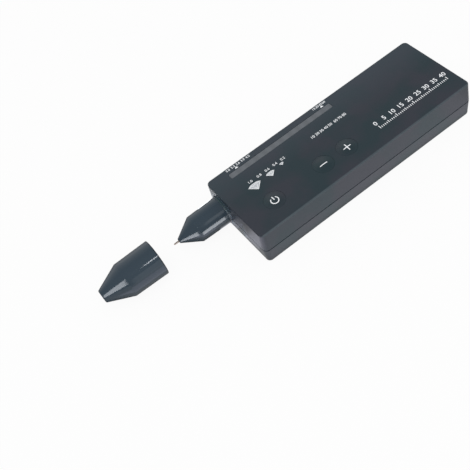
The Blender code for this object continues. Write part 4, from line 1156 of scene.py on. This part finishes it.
class TesterFittings(bpy.types.PropertyGroup):
    """Finish of the keys, the window, the inlet and the screws."""

    key_colour: swatch("Key colour", "Colour of the keys", (0.0120, 0.0232, 0.0318))
    window_colour: swatch("Window colour", "Colour of the smoked window", (0.122, 0.134, 0.149))
    steel_colour: swatch("Steel colour", "Colour of screws and inlet", (0.55, 0.55, 0.56))


class TesterProbe(bpy.types.PropertyGroup):
    """Finish of the probe, its needle and its cap."""

    colour: swatch("Colour", "Colour of probe and cap", (0.034, 0.052, 0.070))
    roughness: number("Roughness", "Roughness of the polished plastic", 0.12, "FACTOR")
    needle_colour: swatch("Needle colour", "Colour of the needle", (0.20, 0.16, 0.135))


class TesterMarks(bpy.types.PropertyGroup):
    """Sizes and colours of the printed marks."""

    colour: swatch("Ink", "Colour of the print", (0.92, 0.94, 0.96))
    fill_colour: swatch("Gem fill", "Colour inside the gems", (0.52, 0.54, 0.57))
    line: number("Line", "Width of a thin printed line", 0.00028, "DISTANCE")
    symbol_line: number("Symbol line", "Width of the keys' symbols", 0.00045, "DISTANCE")
    scale_length: bpy.props.IntProperty(
        name="Scale length",
        description="Length of the printed scale in millimetres",
        default=40,
        min=10,
        max=40,
    )


class TesterStudio(bpy.types.PropertyGroup):
    """Strengths of the studio's lights."""

    softbox: number("Softbox", "Radiance of the softbox above", 1.3)
    cards: number("Cards", "Radiance of the reflector cards", 8.0)
    fill: number("Fill", "Strength of the surroundings", 0.7)


class MakeCase(bpy.types.Operator):
    """Makes the two case shells with their posts, ribs and ways, and the probe's collar"""

    bl_idname = "tester.make_case"
    bl_label = "Case shells"

    def execute(self, context):
        settings = context.scene.tester_case
        # The case's plastic carries a painted sheen, a painted edge highlight and painted light round the
        # probe
        material = moulded("case_plastic", settings.colour, settings.roughness, painted_light=0.6)
        upper = make_upper_shell(settings)
        lower = make_lower_shell(settings)
        add_piece("upper_case", upper, material, "case", ["upper_shell"])
        add_piece("lower_case", lower, material, "case", ["lower_shell"])
        # The collar is a lighter copy of the case's plastic: a painted highlight, and painted light in place
        # of the shade round the probe's root
        painted_root_light = moulded("collar_plastic", opaque(settings.colour, COLLAR_LIGHT_TONES), settings.roughness)
        inner = SLEEVE_ROOT_RADIUS + COLLAR_FIT
        front = HALF_LENGTH + COLLAR_REACH
        corners = (
            (SLEEVE_NECK_FRONT, inner, 0),
            (front, inner, 0),
            (front + inner - COLLAR_RADIUS, COLLAR_RADIUS, COLLAR_FILLET),
            (SLEEVE_NECK_FRONT, COLLAR_RADIUS, 0),
            (SLEEVE_NECK_FRONT, inner, 0),
        )
        add_piece("probe_collar", turned("probe_collar", corners, painted_root_light), painted_root_light, "case")
        return {"FINISHED"}


class MakeScrews(bpy.types.Operator):
    """Makes the case screws and the board screws"""

    bl_idname = "tester.make_screws"
    bl_label = "Screws"

    def execute(self, context):
        steel_colour = context.scene.tester_fittings.steel_colour
        material = brushed("screw_steel", steel_colour, roughness=0.32, stretch=(2400, 2400, 300))
        for name, screws in (("case_screws", CASE_SCREWS), ("board_screws", BOARD_SCREWS)):
            mesh = screw_set(name, screws, material)
            add_piece(name, mesh, material, "case", screws.nodes)
        return {"FINISHED"}


class MakeKeys(bpy.types.Operator):
    """Makes the three round keys"""

    bl_idname = "tester.make_keys"
    bl_label = "Keys"

    def execute(self, context):
        material = moulded("button_plastic", context.scene.tester_fittings.key_colour, 0.38)
        flange_top = CEILING - SEAT_GAP - FACE
        flange_low = flange_top - KEY_FLANGE_THICKNESS
        shares = [step / KEY_CROWN_STEPS for step in range(KEY_CROWN_STEPS)]
        crown = [(key_rise(share), share * KEY_RADIUS, 0) for share in shares]
        for key in KEYS:
            node = f"{key}_button"
            spot = centre_of(node)
            stem_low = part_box(node)[0].z - FACE
            corners = (
                *crown,
                (0, KEY_RADIUS, FINE_FILLET),
                (-KEY_SHOULDER_DROP, KEY_SHOULDER_RADIUS, KEY_SHOULDER_FILLET),
                (flange_top, KEY_SHOULDER_RADIUS, 0),
                (flange_top, KEY_FLANGE_RADIUS, 0),
                (flange_low, KEY_FLANGE_RADIUS, FINE_FILLET),
                (flange_low, KEY_STEM_RADIUS, 0),
                (stem_low, KEY_STEM_RADIUS, FINE_FILLET),
                (stem_low, 0, 0),
            )
            place = Matrix.Translation((spot.x, spot.y, FACE))
            mesh = turned(f"{key}_key", corners, material, place=place)
            add_piece(f"{key}_key", mesh, material, f"{key}_key", [node])
        return {"FINISHED"}


class MakeWindow(bpy.types.Operator):
    """Makes the smoked window over the row of lamps"""

    bl_idname = "tester.make_window"
    bl_label = "Window"

    def execute(self, context):
        material = smoked("smoked_plastic", context.scene.tester_fittings.window_colour)
        shoulder = WINDOW_LOW.z + WINDOW_FLANGE_THICKNESS
        levels = [(height, -WINDOW_FLANGE_WIDTH) for height in (WINDOW_LOW.z, shoulder)]
        levels.append((shoulder, -WINDOW_FILL))
        for inward, upward in quarter(WINDOW_EDGE):
            levels.append((WINDOW_HIGH.z - WINDOW_EDGE + upward, inward - WINDOW_FILL))
        mesh = softened(window_block("smoked_window", levels))
        add_piece("smoked_window", mesh, material, "case", ["light_window"])
        return {"FINISHED"}


class MakeProbe(bpy.types.Operator):
    """Makes the probe's sleeve and its sprung needle"""

    bl_idname = "tester.make_probe"
    bl_label = "Probe"

    def execute(self, context):
        settings = context.scene.tester_probe
        material = polished("probe_plastic", settings.colour, settings.roughness)
        tip = SLEEVE_HIGH.x
        corners = (
            (SLEEVE_BORE_FRONT, NEEDLE_HOLE_RADIUS, 0),
            (tip, NEEDLE_HOLE_RADIUS, FINE_FILLET),
            (tip, SLEEVE_TIP_RADIUS, SMALL_FILLET),
            (SLEEVE_SHOULDER, SLEEVE_SHOULDER_RADIUS, SHOULDER_FILLET),
            (SLEEVE_NECK_FRONT, SLEEVE_ROOT_RADIUS, 0),
            (SLEEVE_NECK_FRONT, SLEEVE_NECK_RADIUS, 0),
            (SLEEVE_NECK_REAR, SLEEVE_NECK_RADIUS, 0),
            (SLEEVE_NECK_REAR, SLEEVE_FLANGE_RADIUS, 0),
            (SLEEVE_LOW.x, SLEEVE_FLANGE_RADIUS, SMALL_FILLET),
            (SLEEVE_LOW.x, SLEEVE_BORE_RADIUS, SMALL_FILLET),
            (SLEEVE_BORE_FRONT, SLEEVE_BORE_RADIUS, 0),
            (SLEEVE_BORE_FRONT, NEEDLE_HOLE_RADIUS, 0),
        )
        mesh = turned("probe_barrel", corners, material)
        add_piece("probe_barrel", mesh, material, "case", ["probe_sleeve"])
        copper = brushed("copper", settings.needle_colour, roughness=0.30, stretch=(300, 2600, 2600))
        low, high = NEEDLE_LOW.x, NEEDLE_HIGH.x
        collar = low + NEEDLE_COLLAR_LENGTH
        corners = (
            (high, 0, 0),
            (high, NEEDLE_TIP_RADIUS, NEEDLE_TIP_FILLET),
            (high - NEEDLE_TAPER, NEEDLE_RADIUS, EDGE_FILLET),
            (collar, NEEDLE_RADIUS, 0),
            (collar, NEEDLE_COLLAR_RADIUS, SMALL_FILLET),
            (low, NEEDLE_COLLAR_RADIUS, SMALL_FILLET),
            (low, 0, 0),
        )
        mesh = turned("test_needle", corners, copper, SMALL_ROUND_STEPS)
        add_piece("test_needle", mesh, copper, "needle", ["probe_needle"])
        self.wind_spring()
        return {"FINISHED"}

    def wind_spring(self):
        """The needle's spring, with closed ends, on a mesh of its own."""
        steel = grained("spring_wire", *SLOT_FINISHES["spring_steel"])
        radius = (SPRING_HIGH.y - SPRING_LOW.y) / 2 - SPRING_WIRE_RADIUS
        rear = SPRING_LOW.x + SPRING_WIRE_RADIUS
        length = SPRING_HIGH.x - SPRING_LOW.x - 2 * SPRING_WIRE_RADIUS
        dead = 2 * SPRING_WIRE_RADIUS * SPRING_DEAD_TURNS
        open_turns = SPRING_TURNS - 2 * SPRING_DEAD_TURNS
        path = []
        for step in range(SPRING_TURNS * SMALL_ROUND_STEPS + 1):
            turns = step / SMALL_ROUND_STEPS
            share = min(1.0, max(0.0, (turns - SPRING_DEAD_TURNS) / open_turns))
            closed = min(turns, SPRING_DEAD_TURNS) + max(0.0, turns - SPRING_DEAD_TURNS - open_turns)
            along = closed / SPRING_DEAD_TURNS * dead + share * (length - 2 * dead)
            angle = math.tau * turns
            path.append((radius * math.cos(angle), radius * math.sin(angle), along))
        coil = points_mesh("coil_path", path)
        sizes = {"wire_radius": SPRING_WIRE_RADIUS, "sides": SPRING_WIRE_SIDES}
        mesh = WIRE.grown("needle_spring", coil, steel, **sizes)
        mesh = softened(placed(mesh, Matrix.Translation((rear, 0, 0)) @ ALONG_PROBE))
        spring = add_piece("needle_spring", mesh, steel, "case", ["probe_spring"])
        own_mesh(spring)


class MakeCap(bpy.types.Operator):
    """Makes the probe's cap, shown pulled off"""

    bl_idname = "tester.make_cap"
    bl_label = "Cap"

    def execute(self, context):
        settings = context.scene.tester_probe
        material = polished("cap_plastic", settings.colour, settings.roughness, CAP_LOW.x)
        tip, mouth = CAP_HIGH.x, CAP_LOW.x
        corners = (
            (tip, 0, 0),
            (tip, CAP_TIP_RADIUS, CAP_TIP_FILLET),
            (CAP_SHOULDER, CAP_SHOULDER_RADIUS, SHOULDER_FILLET),
            (mouth, CAP_MOUTH_RADIUS, EDGE_FILLET),
            (mouth, CAP_INNER_RADIUS, EDGE_FILLET),
            (CAP_INNER_SHOULDER, CAP_INNER_RADIUS, EDGE_FILLET),
            (tip - CAP_END_WALL, CAP_INNER_TIP_RADIUS, EDGE_FILLET),
            (tip - CAP_END_WALL, 0, 0),
        )
        mesh = turned("pulled_cap", corners, material)
        add_piece("pulled_cap", mesh, material, "cap", ["probe_cap"])
        return {"FINISHED"}


class MakeInlet(bpy.types.Operator):
    """Makes the charging inlet with its tongue and its row of contacts"""

    bl_idname = "tester.make_inlet"
    bl_label = "Charging inlet"

    def execute(self, context):
        steel_colour = context.scene.tester_fittings.steel_colour
        steel = brushed("socket_steel", steel_colour, roughness=0.26, stretch=(300, 1800, 1800))
        mouth, back = INLET_LOW.x, INLET_HIGH.x
        seat = back - INLET_BACK
        edge = INLET_WALL / 3
        levels = (
            (back, 0),
            (mouth + edge, 0),
            (mouth, edge),
            (mouth, INLET_WALL - edge),
            (mouth + edge, INLET_WALL),
            (seat, INLET_WALL),
        )
        mesh = softened(inlet_block("inlet_shell", INLET_SIDES, INLET_CORNER_RADIUS, levels))
        add_piece("inlet_shell", mesh, steel, "case", ["charging_socket"])
        resin = grained("inlet_resin", RESIN_BLACK, roughness=0.5, grain_scale=2600.0, depth=0.00001)
        front = seat - TONGUE_LENGTH
        half = TONGUE_THICKNESS / 2
        levels = ((front, TONGUE_CHAMFER), (front + TONGUE_CHAMFER, 0), (back - INLET_BACK / 2, 0))
        mesh = softened(inlet_block("inlet_tongue", (TONGUE_WIDTH, TONGUE_THICKNESS), half, levels))
        add_piece("inlet_tongue", mesh, resin, "case")
        fineness = {"drift": 0.06, "grain_scale": 2400.0, "depth": 0.000004}
        gold = grained("contact_gold", CONTACT_GOLD, roughness=0.26, metallic=1.0, **fineness)
        high = (CONTACT_LENGTH, CONTACT_HALF_WIDTH, half + CONTACT_RISE)
        strip = box_mesh("contact", (0, -high[1], -high[2]), high)
        row = {"count": CONTACT_COUNT, "pitch": (0.0, CONTACT_PITCH, 0.0)}
        mesh = ROW.grown("inlet_contacts", strip, gold, longer_scale=1.0, longest_scale=1.0, **row)
        first = -CONTACT_PITCH * (CONTACT_COUNT - 1) / 2
        mesh = placed(mesh, Matrix.Translation((front + CONTACT_SETBACK, first, INLET_Z)))
        add_piece("inlet_contacts", mesh, gold, "case")
        return {"FINISHED"}


# Gem marks as (x, y of the tip, width, height), and shares of their sizes. Only a wide gem has facets.
GEMS = (
    (0.0444, -0.00078, 0.0063, 0.0040),
    (0.0354, -0.00212, 0.0043, 0.0027),
    (0.0285, -0.0039, 0.0020, 0.0013),
)
FACETED_WIDTH = 0.004
GEM_TABLE_SHARE = 0.25
GEM_INNER_SHARE = 0.2
GEM_GIRDLE_SHARE = 0.80
GEM_POINT_SHARE = 0.1
FACET_LINE_SHARE = 0.7

# Numbers as (text, x), and each of their rows as (y, height of the type, weight added to it)
LEVEL_NUMBERS = (("1.0", 0.04465), ("0.8", 0.0398), ("0.6", 0.0353), ("0.4", 0.0309), ("0.2", 0.0265))
LEVEL_ROW = (-0.0067, 0.0014, 0.006)
STEP_PLACES = (0.0090, 0.0065, 0.0040, 0.0015, -0.0010, -0.0042, -0.0067, -0.0092)
STEP_NUMBERS = [(str(10 * place), x) for place, x in enumerate(STEP_PLACES, 1)]
STEP_ROW = (-0.0065, 0.0015, 0.006)
EDGE_READINGS = (("3.0", 0.0481), ("3.3", 0.0453), ("3.6", 0.0425), ("3.9", 0.0397), ("4.2", 0.0369))
EDGE_READINGS += (("15", -0.0021), ("30", -0.0040), ("45", -0.0059), ("60", -0.0078))
EDGE_ROW = (-0.01955, 0.0013, 0.012)
SCALE_ROW = (0.0082, 0.0024, 0.010)

# The scale, whose longer lines are shares of a line's length
SCALE_START = -0.0150
SCALE_BASE_Y = 0.0121
SCALE_PITCH = 0.001
LINE_HALF_WIDTH = 0.00017
LINE_LENGTH = 0.0010
FIFTH_LINE_SHARE = 1.4
TENTH_LINE_SHARE = 1.9

# The pointers at the window's ends, and the keys' symbols with the power ring's gap in degrees
POINTER_ENDS = (0.0443, -0.0055)
POINTER_Y = -0.01815
POINTER = ((-0.0009, -0.0005), (0.0009, -0.0005), (0, 0.0007))
SYMBOL_REACH = 0.0020
SYMBOL_SHIFT = Vector((0.0001, 0.0004))
POWER_RADIUS = 0.0018
POWER_GAP = 76
POWER_STEPS = 36
POWER_BAR = (0.0002, 0.0024)


class MakeMarks(bpy.types.Operator):
    """Prints the scale, the numbers, the gems, the pointers and the keys' symbols"""

    bl_idname = "tester.make_marks"
    bl_label = "Printed marks"

    def execute(self, context):
        settings = context.scene.tester_marks
        ink = grained("print_ink", settings.colour, 0.5, drift=0.03, grain_scale=3000.0, depth=0.000004)
        fill = grained("gem_ink", settings.fill_colour, 0.5, drift=0.06, grain_scale=3000.0, depth=0.000004)
        self.print_scale(settings, ink)
        self.print_numbers(ink)
        self.print_gems(settings, ink, fill)
        self.print_window_marks(ink)
        self.print_symbols(settings, ink)
        return {"FINISHED"}

    def add_print(self, name, mesh, ink, body="case"):
        add_piece(name, mesh, ink, body)

    def print_scale(self, settings, ink):
        """A millimetre scale: one tree repeats its lines, with each fifth and tenth longer."""
        low, high = (-LINE_HALF_WIDTH, -LINE_LENGTH, -PRINT_SINK), (LINE_HALF_WIDTH, 0, PRINT_RISE)
        seed = box_mesh("scale_line", low, high)
        row = {"count": settings.scale_length + 1, "pitch": (-SCALE_PITCH, 0.0, 0.0)}
        row |= {"longer_every": 5, "longer_scale": FIFTH_LINE_SHARE}
        row |= {"longest_every": 10, "longest_scale": TENTH_LINE_SHARE}
        mesh = ROW.grown("scale_lines", seed, ink, **row)
        place = Matrix.Translation((SCALE_START, SCALE_BASE_Y, FACE))
        self.add_print("scale_lines", placed(mesh, place), ink)
        steps = range(0, settings.scale_length + 1, 5)
        meshes = number_row([(str(step), SCALE_START - step * SCALE_PITCH) for step in steps], SCALE_ROW)
        self.add_print("scale_numbers", joined("scale_numbers", meshes), ink)

    def print_numbers(self, ink):
        meshes = number_row(LEVEL_NUMBERS, LEVEL_ROW) + number_row(STEP_NUMBERS, STEP_ROW)
        self.add_print("level_numbers", joined("level_numbers", meshes), ink)

    def print_gems(self, settings, ink, fill):
        """Three cut stones of falling size, each a grey shape with white outlines and facets."""
        fills = bmesh.new()
        lines = bmesh.new()
        for x, tip, width, height in GEMS:
            half, table, inner = width / 2, GEM_TABLE_SHARE * width, GEM_INNER_SHARE * width
            girdle, point = GEM_GIRDLE_SHARE * height, (0, GEM_POINT_SHARE * height)
            outline = [(0, 0), (half, girdle), (table, height), (-table, height), (-half, girdle)]
            plate(fills, read_at(x, tip, outline), on_face)
            thin = settings.line * (0.5 + 0.5 * width / GEMS[0][2])
            stroke(lines, read_at(x, tip, outline), thin, on_face, closed=True)
            if width > FACETED_WIDTH:
                facets = [[(-half, girdle), (half, girdle)]]
                facets += [[(-inner, girdle), point], [(inner, girdle), point]]
                facets += [[(-table, height), (-inner, girdle)], [(table, height), (inner, girdle)]]
                for facet in facets:
                    stroke(lines, read_at(x, tip, facet), thin * FACET_LINE_SHARE, on_face)
        self.add_print("gem_fills", mesh_from(fills, "gem_fills"), fill)
        for vertex in lines.verts:
            if vertex.co.z > FACE:
                vertex.co.z += PRINT_RISE / 2
        self.add_print("gem_lines", mesh_from(lines, "gem_lines"), ink)

    def print_window_marks(self, ink):
        """Plain readings beyond each end of the window, and a pointer to each end."""
        meshes = number_row(EDGE_READINGS, EDGE_ROW)
        form = bmesh.new()
        for x in POINTER_ENDS:
            plate(form, read_at(x, POINTER_Y, POINTER), on_face)
        meshes.append(mesh_from(form, "pointers"))
        self.add_print("window_marks", joined("window_marks", meshes), ink)

    def print_symbols(self, settings, ink):
        """Power, minus and plus, each on the crown of its key and moving with it."""
        ring = []
        for step in range(POWER_STEPS + 1):
            angle = math.radians(90 + POWER_GAP / 2 + (360 - POWER_GAP) * step / POWER_STEPS)
            ring.append((POWER_RADIUS * math.cos(angle), POWER_RADIUS * math.sin(angle)))
        level = [(-SYMBOL_REACH, 0), (SYMBOL_REACH, 0)]
        upright = [(0, -SYMBOL_REACH), (0, SYMBOL_REACH)]
        bar = [(0, end) for end in POWER_BAR]
        for key, lines in (("power", (ring, bar)), ("minus", (level,)), ("plus", (level, upright))):
            x, y = centre_of(f"{key}_button").xy + SYMBOL_SHIFT
            form = bmesh.new()
            for line in lines:
                stroke(form, read_at(x, y, line), settings.symbol_line, on_key(key))
            self.add_print(f"{key}_symbol", mesh_from(form, f"{key}_symbol"), ink, f"{key}_key")


class FinishInsides(bpy.types.Operator):
    """Gives each part of the frame that stays its own finish"""

    bl_idname = "tester.finish_insides"
    bl_label = "Inside finishes"

    def execute(self, context):
        made = {}
        for entry in frame["record"]["subparts"]:
            slot, node = entry["material_slot"], entry["node"]
            if slot not in SLOT_FINISHES:
                continue
            if slot not in made:
                colour, roughness, metallic, drift, scale, depth = SLOT_FINISHES[slot]
                made[slot] = grained(slot, colour, roughness, metallic, drift, 90.0, scale, depth)
            mesh = frame["nodes"][node].data
            mesh.materials.clear()
            mesh.materials.append(made[slot])
        if not made:
            raise RuntimeError("no node of the frame was given a finish")
        return {"FINISHED"}


# Reflector cards in millimetres as (name, middle, one side, the other side, share of the cards' radiance,
# tint). A card shines to the side from which its two sides, taken in turn, run clockwise.
COOL = (0.93, 0.96, 1.0)
BLUE = (0.78, 0.81, 1.0)
VIOLET = (0.80, 0.77, 1.0)
REFLECTOR_CARDS = (
    ("barrel_card", (66.4, 7.4, 7.4), (12.6, 0.0, 0.0), (0.0, -1.5, -7.4), 1.05, COOL),
    ("barrel_line", (57.5, 38.4, 49.7), (12.0, 0.0, 0.0), (0.0, 14.6, -18.1), 0.14, COOL),
    ("cap_line", (94.5, 27.5, 64.8), (13.0, 0.0, 0.0), (0.0, 3.4, -2.3), 2.8, COOL),
    ("cap_card", (141.1, 8.7, 24.4), (12.3, -4.2, -4.0), (-1.0, 11.0, -14.3), 1.05, COOL),
    ("cone_card", (87.2, -1.9, 9.3), (8.2, -4.2, -2.35), (-1.25, 1.3, -6.8), 1.0, COOL),
    ("case_table", (0.0, 41.0, 0.5), (132.0, 0.0, 0.0), (0.0, -38.0, 0.0), 0.042, BLUE),
    ("probe_table", (97.0, 26.0, 0.5), (62.0, 0.0, 0.0), (0.0, -48.0, 0.0), 0.12, VIOLET),
    ("cap_sheen", (100.5, 40.0, 26.0), (20.0, 0.0, 0.0), (0.0, 0.0, -34.0), 0.085, COOL),
    ("nose_table", (61.8, -31.0, 0.5), (7.5, 0.0, 0.0), (0.0, -18.0, 0.0), 0.50, COOL),
    ("middle_table", (61.8, -13.0, 0.5), (7.5, 0.0, 0.0), (0.0, -18.0, 0.0), 0.06, BLUE),
    ("front_table", (66.5, 7.0, 0.5), (12.0, 0.0, 0.0), (0.0, -10.0, 0.0), 0.085, BLUE),
)
SOFTBOX = ((250, 550, 1300), (1300, 0, -230), (160, 1260, -560))
WHITE = (1.0, 1.0, 1.0, 1.0)
BLACK = (0.0, 0.0, 0.0, 1.0)
SKY_STOPS = ((0.0, WHITE), (0.30, (0.36, 0.39, 0.42, 1.0)))

# The floor: its two pale greys, and how far it glows for the camera and in reflections
FLOOR_REACH = 6.0
FLOOR_DROP = 0.00005
FLOOR_SPECK_SCALE = 30.0
PALE = (0.80, 0.80, 0.80, 1.0)
PALER = (0.82, 0.82, 0.82, 1.0)
CAMERA_SHARE = 0.93
MIRROR_SHARE = 0.9

# The floor's glow in glossy pieces, which leaves a painted shadow of the part: each pair is the y where it
# starts and the width over which it grows, towards -Y where that is negative. The levels are near the part and
# beyond it.
PROBE_GLOW = (-0.007, 0.008)
CASE_GLOW = (-0.030, 0.030)
CASE_GLOW_END = 0.065
NEAR_LEVEL = 0.80
FAR_GLOW = (-0.025, -0.08)
FAR_LEVEL = 0.07
FAR_GAIN = 0.52

# The photograph's camera: its place, which way its frame's right, down and ahead point, and its lens
CAMERA_PLACE = Vector((0.12948, 0.20355, 0.28299))
CAMERA_RIGHT = Vector((-0.79044, 0.56944, -0.2257))
CAMERA_DOWN = Vector((0.58248, 0.58476, -0.56461))
CAMERA_AHEAD = Vector((-0.18953, -0.57775, -0.7939))
SENSOR_MILLIMETRES = 36.0
LENS_MILLIMETRES = 60.13
CLIP_START = 0.01


class SetStudio(bpy.types.Operator):
    """Sets the floor, the lights, the surroundings and the camera"""

    bl_idname = "tester.set_studio"
    bl_label = "Studio"

    def execute(self, context):
        settings = context.scene.tester_studio
        scene = context.scene
        scene.view_settings.view_transform = "Standard"
        self.set_floor()
        scene.world = self.surroundings(settings.fill)
        self.add_light("softbox", *SOFTBOX, settings.softbox, "glossy", WHITE[:3])
        for name, middle, along, across, share, tint in REFLECTOR_CARDS:
            self.add_light(name, middle, along, across, settings.cards * share, "diffuse", tint)
        self.set_camera(scene)
        return {"FINISHED"}

    def set_floor(self):
        form = bmesh.new()
        bmesh.ops.create_grid(form, x_segments=1, y_segments=1, size=FLOOR_REACH)
        for vertex in form.verts:
            vertex.co.z = -FLOOR_DROP
        mesh = stored(form, "floor")
        mesh.materials.append(surfaced(bpy.data.materials.new("pale_floor"), self.floor_surface))
        floor = bpy.data.objects.new("floor", mesh)
        bpy.context.scene.collection.objects.link(floor)

    def floor_surface(self, nodes):
        """A pale floor that keeps the shadow and is lit evenly for the camera, and that shows a painted shadow
        of the part in reflections.
        """
        reflected = nodes.ray("Glossy") + nodes.ray("Transmission") > 0.5
        speck = nodes.mixed(nodes.noise(FLOOR_SPECK_SCALE), PALE, PALER)
        plain = nodes.add("ShaderNodeBsdfDiffuse", {}, {"Color": speck})
        shine = nodes.mixed(reflected, WHITE, self.mirrored_floor(nodes))
        glow = nodes.add("ShaderNodeEmission", {}, {"Color": shine, "Strength": 1.0})
        share = CAMERA_SHARE * nodes.ray("Camera") + MIRROR_SHARE * reflected
        return nodes.add("ShaderNodeMixShader", {}, {0: share, 1: plain, 2: glow})

    def mirrored_floor(self, nodes):
        """How bright the floor is in glossy pieces: a painted shadow of the part in bands across it, and
        dimmer far behind it.
        """
        across = nodes.axis(1)

        def growing(start, width):
            return nodes.clamped((across - start) / width)

        # Painted shadow: in reflections the floor is dark on the part's -Y side, and lightens slowly further
        # out
        beside = growing(*PROBE_GLOW)
        before = growing(*CASE_GLOW) * (nodes.axis(0) < CASE_GLOW_END)
        near = NEAR_LEVEL * nodes.maths("MAXIMUM", before, beside)
        beyond = FAR_LEVEL + FAR_GAIN * growing(*FAR_GLOW)
        return nodes.mixed(nodes.maths("MAXIMUM", near, beyond), BLACK, WHITE)

    def surroundings(self, fill):
        """A world that is white for the camera, even for the lighting, and darker towards +Y in gloss."""

        def surface(nodes):
            towards = nodes.part(nodes.add("ShaderNodeTexCoord", output="Generated"), 1)
            sky = nodes.add("ShaderNodeValToRGB", {"stops": SKY_STOPS}, {0: 0.5 + 0.5 * towards})
            soft = nodes.mixed(nodes.ray("Glossy"), (fill, fill, fill, 1.0), sky)
            colour = nodes.mixed(nodes.ray("Camera"), soft, WHITE)
            return nodes.add("ShaderNodeBackground", {}, {"Color": colour, "Strength": 1.0})

        return surfaced(bpy.data.worlds.new("surroundings"), surface, "World")

    def add_light(self, name, middle, along, across, radiance, unseen_by, tint):
        """Adds a flat light. The softbox only lights, and the cards only shine in glossy pieces."""
        middle, along, across = (Vector(values) / 1000 for values in (middle, along, across))
        light = bpy.data.lights.new(name, "AREA")
        light.shape = "RECTANGLE"
        light.size, light.size_y = along.length, across.length
        light.energy = radiance * math.pi * light.size * light.size_y
        light.color = tint
        away = along.cross(across)
        item = bpy.data.objects.new(name, light)
        sides = (along.normalized(), away.cross(along).normalized(), away.normalized())
        item.matrix_world = Matrix.Translation(middle) @ Matrix(sides).transposed().to_4x4()
        item.visible_camera = False
        setattr(item, f"visible_{unseen_by}", False)
        bpy.context.scene.collection.objects.link(item)

    def set_camera(self, scene):
        """Stands the camera where the photograph was taken from."""
        lens = bpy.data.cameras.new("photograph_view")
        lens.sensor_width = SENSOR_MILLIMETRES
        lens.lens = LENS_MILLIMETRES
        lens.clip_start = CLIP_START
        camera = bpy.data.objects.new("photograph_view", lens)
        turn = Matrix((CAMERA_RIGHT, -CAMERA_DOWN, -CAMERA_AHEAD)).transposed().to_4x4()
        camera.matrix_world = Matrix.Translation(CAMERA_PLACE) @ turn
        scene.collection.objects.link(camera)
        scene.camera = camera


class TesterPanel(bpy.types.Panel):
    """Lists the tester's pieces and their settings"""

    bl_idname = "VIEW3D_PT_tester"
    bl_label = "Diamond tester"
    bl_space_type = "VIEW_3D"
    bl_region_type = "UI"
    bl_category = "Tester"

    def draw(self, context):
        for operator in OPERATORS:
            self.layout.operator(operator.bl_idname)
        for name in SETTINGS:
            group = getattr(context.scene, name)
            box = self.layout.box()
            for key in group.__annotations__:
                box.prop(group, key)


SETTINGS = {
    "tester_case": TesterCase,
    "tester_fittings": TesterFittings,
    "tester_probe": TesterProbe,
    "tester_marks": TesterMarks,
    "tester_studio": TesterStudio,
}
OPERATORS = (MakeCase, MakeScrews, MakeKeys, MakeWindow, MakeProbe, MakeCap, MakeInlet, MakeMarks)
OPERATORS += (FinishInsides, SetStudio)


def register():
    for group in SETTINGS.values():
        bpy.utils.register_class(group)
    for name, group in SETTINGS.items():
        setattr(bpy.types.Scene, name, bpy.props.PointerProperty(type=group))
    for operator in OPERATORS:
        bpy.utils.register_class(operator)
    bpy.utils.register_class(TesterPanel)


def unregister():
    bpy.utils.unregister_class(TesterPanel)
    for operator in reversed(OPERATORS):
        bpy.utils.unregister_class(operator)
    for name, group in reversed(SETTINGS.items()):
        delattr(bpy.types.Scene, name)
        bpy.utils.unregister_class(group)


def main():
    """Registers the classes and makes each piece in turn."""
    register()
    bpy.ops.tester.make_case()
    bpy.ops.tester.make_screws()
    bpy.ops.tester.make_keys()
    bpy.ops.tester.make_window()
    bpy.ops.tester.make_probe()
    bpy.ops.tester.make_cap()
    bpy.ops.tester.make_inlet()
    bpy.ops.tester.make_marks()
    bpy.ops.tester.finish_insides()
    bpy.ops.tester.set_studio()
    bpy.context.view_layer.update()


if __name__ == "__main__":
    main()
